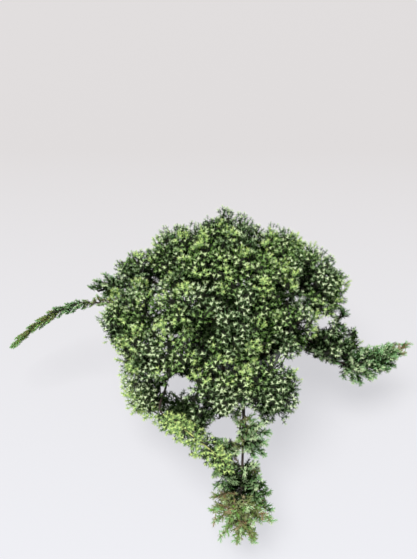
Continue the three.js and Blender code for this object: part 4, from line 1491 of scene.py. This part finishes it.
def grow_tubes(name, paths, tree, values):
    """A piece of tubes along (places, radii, relief) paths."""
    vertices, edges, radii, relief = [], [], [], []
    for places, thick, rough in paths:
        first = len(vertices)
        vertices += [tuple(p) for p in places]
        radii += [t * MM for t in thick]
        relief += [rough] * len(places)
        edges += [(i, i + 1) for i in range(first, len(vertices) - 1)]
    piece = new_piece(name, vertices, edges)
    add_attributes(piece, thick=radii, relief=relief)
    return run_tree(piece, tree, values)


# How many places a trunk, a bough and a stem are drawn through, and how rough their bark is.
TRUNK_PLACES = 40
BOUGH_PLACES = 26
STEM_PLACES = 18
LIMB_RELIEF = 1.0
STEM_RELIEF = 0.6
STEM_OVERLAP = 0.02


class JUNIPER_OT_bark(bpy.types.Operator):
    """Grows the trunk, the boughs and the stems inside the masses, with the relief of their bark"""

    bl_idname = "juniper.bark"
    bl_label = "Trunk and boughs"

    def execute(self, context):
        settings = context.scene.juniper_bark
        grown = plant()
        paths, green = [], []
        for name, limb in grown.limbs.items():
            count = TRUNK_PLACES if name == "trunk" else BOUGH_PLACES
            places = limb.curve.places(0, 1, count)
            thick = [lerp(limb.thick, limb.thin, i / (count - 1)) for i in range(count)]
            if name == "trunk":
                flares = [math.exp(-(p[2] - SOIL_LEVEL) / ROOT_FLARE["height"]) for p in places]
                thick = [t + ROOT_FLARE["width"] * flare for t, flare in zip(thick, flares)]
                places[0] = places[0] - np.array([0, 0, ROOT_FLARE["sunk"]])
            paths.append((places, thick, LIMB_RELIEF))
        for mass in grown.masses:
            bough = grown.limbs.get(mass.name, grown.limbs["trunk"])
            places = mass.curve.places(max(mass.root - STEM_OVERLAP, 0), STEM_END, STEM_PLACES)
            thick = [lerp(bough.thin, STEM_RADIUS, i / (STEM_PLACES - 1)) for i in range(STEM_PLACES)]
            kept = green if mass.row.get("stem") == "green" else paths
            kept.append((places, thick, STEM_RELIEF))
        values = {"Sides": 14, "Ridge depth": settings.ridges, "Lump depth": settings.lumps}
        bark = grow_tubes("bark", paths, limb_tree(bark_material(settings.colour)), values)
        smooth(bark, sharp_degrees=80)
        seat_piece(bark, "bark", "trunk", *[f"bough_{name}" for name in grown.limbs if name != "trunk"])
        material, _, _ = principled("green_stem", settings.green_stem, roughness=0.6)
        values = {"Sides": 8, "Ridge depth": 0.0001, "Lump depth": 0.0003}
        stem = grow_tubes("green_stem", green, limb_tree(material), values)
        smooth(stem, sharp_degrees=80)
        seat_piece(stem, "young_foliage")
        return {"FINISHED"}


# Radii from the foot to the end of a main spray, a feather's branch, a tuft's twig and a shoot's stalk.
SPRAY_RADII = (1.4, 1.2, 1.0, 0.8, 0.6)
BRANCH_RADII = (0.9, 0.75, 0.6, 0.45, 0.3)
TWIG_RADII = (1.0, 0.9, 0.8, 0.7, 0.5)
STALK_RADII = (0.6, 0.5)
TWIG_RELIEF = 0.2
SPRAY_RELIEF = 0.3
SPRAY_END = dict(rounded=0.8, loose=0.5)
BRANCH_END = 0.92
TWIG_BEND = 0.9


def twig_path(radii, relief, *points):
    """A path for a tube along a curve, with one place for each radius."""
    return Curve(*points).places(0, 1, len(radii)), radii, relief


class JUNIPER_OT_twigs(bpy.types.Operator):
    """Grows the main sprays' twigs and the finer twigs that carry the clumps"""

    bl_idname = "juniper.twigs"
    bl_label = "Twigs"

    def execute(self, context):
        settings = context.scene.juniper_bark
        grown = plant()
        paths, stalks = [], []
        for mass in grown.masses:
            for foot, tip in grown.sprays[mass.name]:
                end = lerp(foot, tip, SPRAY_END["rounded" if mass.rounded else "loose"])
                paths.append(twig_path(SPRAY_RADII, SPRAY_RELIEF, foot, end))
            for clump in grown.clumps[mass.name]:
                foot, base = clump["foot"], clump["base"]
                if not clump["tufted"]:
                    end = lerp(foot, clump["tip"], BRANCH_END)
                    paths.append(twig_path(BRANCH_RADII, TWIG_RELIEF, foot, end))
                    continue
                bend = base - clump["aim"] * clump["depth"] * TWIG_BEND
                paths.append(twig_path(TWIG_RADII, TWIG_RELIEF, clump["start"], bend, base))
                feet = [(base, tip - way * STALK) for tip, way, *_ in grown.shoots_of(clump)]
                stalks += [(ends, STALK_RADII, 0) for ends in feet]
        tree = limb_tree(twig_material(settings.twig_colour))
        values = {"Sides": 5, "Ridge depth": 0.0002, "Lump depth": 0.0004, "Lump scale": 240.0}
        twigs = grow_tubes("twigs", paths, tree, values)
        smooth(twigs, sharp_degrees=80)
        seat_piece(twigs, "bark")
        seat_piece(grow_tubes("stalks", stalks, tree, {"Sides": 3, "Caps": False}), "bark")
        return {"FINISHED"}


class JUNIPER_OT_needles(bpy.types.Operator):
    """Clads every shoot in whorls of needles, in one piece for each part of the plant"""

    bl_idname = "juniper.needles"
    bl_label = "Needles"

    def execute(self, context):
        settings = context.scene.juniper_needles
        tree = needled_shoots_tree(needle_materials(context.scene.juniper_greens))
        grown = plant()
        for piece_name, names in NEEDLE_PIECES.items():
            masses = [grown.named[name] for name in names]
            shape = SHOOTS[masses[0].growth]
            rows = [row for mass in masses for row in shoot_rows(grown, mass)]
            tips, aims, sizes, spins, tones, older_shaded_tones = zip(*rows)
            piece = new_piece(piece_name, tips)
            add_attributes(piece, aim=aims, size=sizes, spin=spins, tone=tones, tone_below=older_shaded_tones)
            clad = settings.clad * shape["clad"]
            run_tree(piece, tree, {
                "Needle length": settings.length * shape["needle"],
                "Needle width": settings.width * shape["width"],
                "Needle thickness share": settings.thickness,
                "Whorls": settings.whorls + shape["whorls"],
                "Clad length": clad,
                "Lean of the lowest needles": settings.foot_lean * shape["lean"],
                "Lean of the highest needles": settings.tip_lean * shape["lean"],
                "Stalk length": clad * STALK_OF_CLAD,
            })
            slot = "young_foliage" if masses[0].row["look"] == "young" else "foliage"
            seat_piece(piece, slot, *[f"foliage_{name}" for name in names])
        return {"FINISHED"}


def shoot_rows(grown, mass):
    """Tip, aim, size, spin, tone and older needles' tone of every shoot of a mass, the tones carrying painted
    light and shade.
    """
    rows = []
    # The mass's painted light and painted shade, with its growth's number, added to every shoot's light.
    painted_lighter = LIGHT_OF_GROWTH[mass.growth] + mass.row.get("painted_lighter", 0)
    for clump in grown.clumps[mass.name]:
        base = Vector(clump["base"])
        # A clump that faces up gets more painted light, as the overhead light falls on it.
        exposure = 0.5 + 0.5 * float(clump["aim"][2])
        patch = 0.5 + PATCHES["contrast"] * noise.noise(base / PATCHES["width"])
        hue = 0.5 + HUES["contrast"] * noise.noise(base / HUES["width"] + HUES["shift"])
        hue = lerp(hue, clump["tone"], HUES["of_clump"])
        for tip, aim, size, level, chance, spin in grown.shoots_of(clump):
            parts = (patch, clump["tone"], exposure, level, chance)
            light = sum(weight * part for weight, part in zip(LIGHT_WEIGHTS.values(), parts))
            light = clamp(0.5 + LIGHT_CONTRAST * (light - LIGHT_MIDDLE) + painted_lighter, 0, LIGHTEST)
            # Buried shoots inside the mound keep only a share of their light: painted shade.
            if clump.get("buried"):
                light *= BURIED_PAINTED_LIGHT
            palette = palette_for(mass, tip, hue, chance)
            # The older needles at a shoot's foot keep a share of its light: partly their own older green,
            # partly painted shade.
            tones = (tone_from(palette, light), tone_from(palette, light * OLDER_PAINTED_LIGHT))
            rows.append((tip, aim, size, spin, *tones))
    return rows


def palette_for(mass, tip, hue, chance):
    """The palette of a shoot: one of its look's, or bronze near the tips of some leaders."""
    start, line = mass.curve.at(0), mass.curve.at(1) - mass.curve.at(0)
    share = float((tip - start) @ line) / float(line @ line)
    if share > mass.row.get("bronzed_from", math.inf) and chance < mass.row["bronzed"]:
        return PALETTES["bronzed"]
    first, second, first_share = LOOKS[mass.row["look"]]
    return PALETTES[first if hue < first_share else second]


def tone_from(palette, light):
    """The number of the tone that a share of light picks from a palette."""
    passed = 0.0
    for name, share in palette.items():
        passed += share
        if light < passed:
            break
    return TONES.index(name)


class JUNIPER_OT_stage(bpy.types.Operator):
    """Sets the pale floor, the soft light and the camera"""

    bl_idname = "juniper.stage"
    bl_label = "Stage"

    def execute(self, context):
        settings = context.scene.juniper_stage
        scene = context.scene
        corners = [(x * FLOOR_REACH, y * FLOOR_REACH, 0) for x, y in ((-1, -1), (1, -1), (1, 1), (-1, 1))]
        floor = new_piece("floor", corners, faces=[(0, 1, 2, 3)])
        floor.data.materials.append(floor_material(settings))
        floor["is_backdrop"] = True
        world = bpy.data.worlds.new("soft_daylight")
        world.use_nodes = True
        back = world.node_tree.nodes["Background"]
        back.inputs["Color"].default_value = (*settings.sky_colour, 1)
        back.inputs["Strength"].default_value = settings.sky_strength
        scene.world = world
        lamp = bpy.data.lights.new("overhead_light", "SUN")
        lamp.energy = settings.sun_strength
        lamp.angle = settings.sun_softness
        lamp.color = LAMP_COLOUR
        towards = Vector(settings.sun_from)
        stand("overhead_light", lamp, towards, towards)
        lens = bpy.data.cameras.new("camera")
        lens.sensor_fit = "VERTICAL"
        lens.sensor_width = SENSOR
        lens.sensor_height = SENSOR
        lens.lens = SENSOR * settings.focal_pixels / PHOTO_HEIGHT
        lens.clip_start = 0.01
        back_way = Vector((0, -math.cos(settings.elevation), math.sin(settings.elevation)))
        place = Vector(settings.target) + back_way * settings.distance
        scene.camera = stand("camera", lens, place, back_way)
        scene.view_settings.view_transform = "Standard"
        return {"FINISHED"}


def stand(name, data, place, back_way):
    """A lamp or camera at a place, turned away from a direction."""
    thing = bpy.data.objects.new(name, data)
    thing.location = place
    thing.rotation_euler = back_way.to_track_quat("Z", "Y").to_euler()
    bpy.context.scene.collection.objects.link(thing)
    return thing


OPERATORS = (
    JUNIPER_OT_pot, JUNIPER_OT_soil, JUNIPER_OT_bark, JUNIPER_OT_twigs, JUNIPER_OT_needles, JUNIPER_OT_stage,
)
SETTINGS = {
    "juniper_pot": JUNIPER_PG_pot,
    "juniper_soil": JUNIPER_PG_soil,
    "juniper_bark": JUNIPER_PG_bark,
    "juniper_needles": JUNIPER_PG_needles,
    "juniper_greens": JUNIPER_PG_greens,
    "juniper_stage": JUNIPER_PG_stage,
}


class JUNIPER_PT_panel(bpy.types.Panel):
    """Shows the plant's settings and a button for each step that builds it"""

    bl_label = "Potted juniper"
    bl_idname = "JUNIPER_PT_panel"
    bl_space_type = "VIEW_3D"
    bl_region_type = "UI"
    bl_category = "Juniper"

    def draw(self, context):
        for name, group in SETTINGS.items():
            box = self.layout.box()
            for field in group.__annotations__:
                box.prop(getattr(context.scene, name), field)
        for operator in OPERATORS:
            self.layout.operator(operator.bl_idname)


CLASSES = (*SETTINGS.values(), *OPERATORS, JUNIPER_PT_panel)


def register():
    for kind in CLASSES:
        bpy.utils.register_class(kind)
    for name, group in SETTINGS.items():
        setattr(bpy.types.Scene, name, bpy.props.PointerProperty(type=group))


def unregister():
    for name in SETTINGS:
        delattr(bpy.types.Scene, name)
    for kind in reversed(CLASSES):
        bpy.utils.unregister_class(kind)


def main():
    register()
    bpy.ops.juniper.stage()
    bpy.ops.juniper.pot()
    bpy.ops.juniper.soil()
    bpy.ops.juniper.bark()
    bpy.ops.juniper.twigs()
    bpy.ops.juniper.needles()
    boxes = {"cad": CAD_BOX, "visual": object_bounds()}
    plain = {name: [list(corner) for corner in box] for name, box in boxes.items()}


if __name__ == "__main__":
    main()
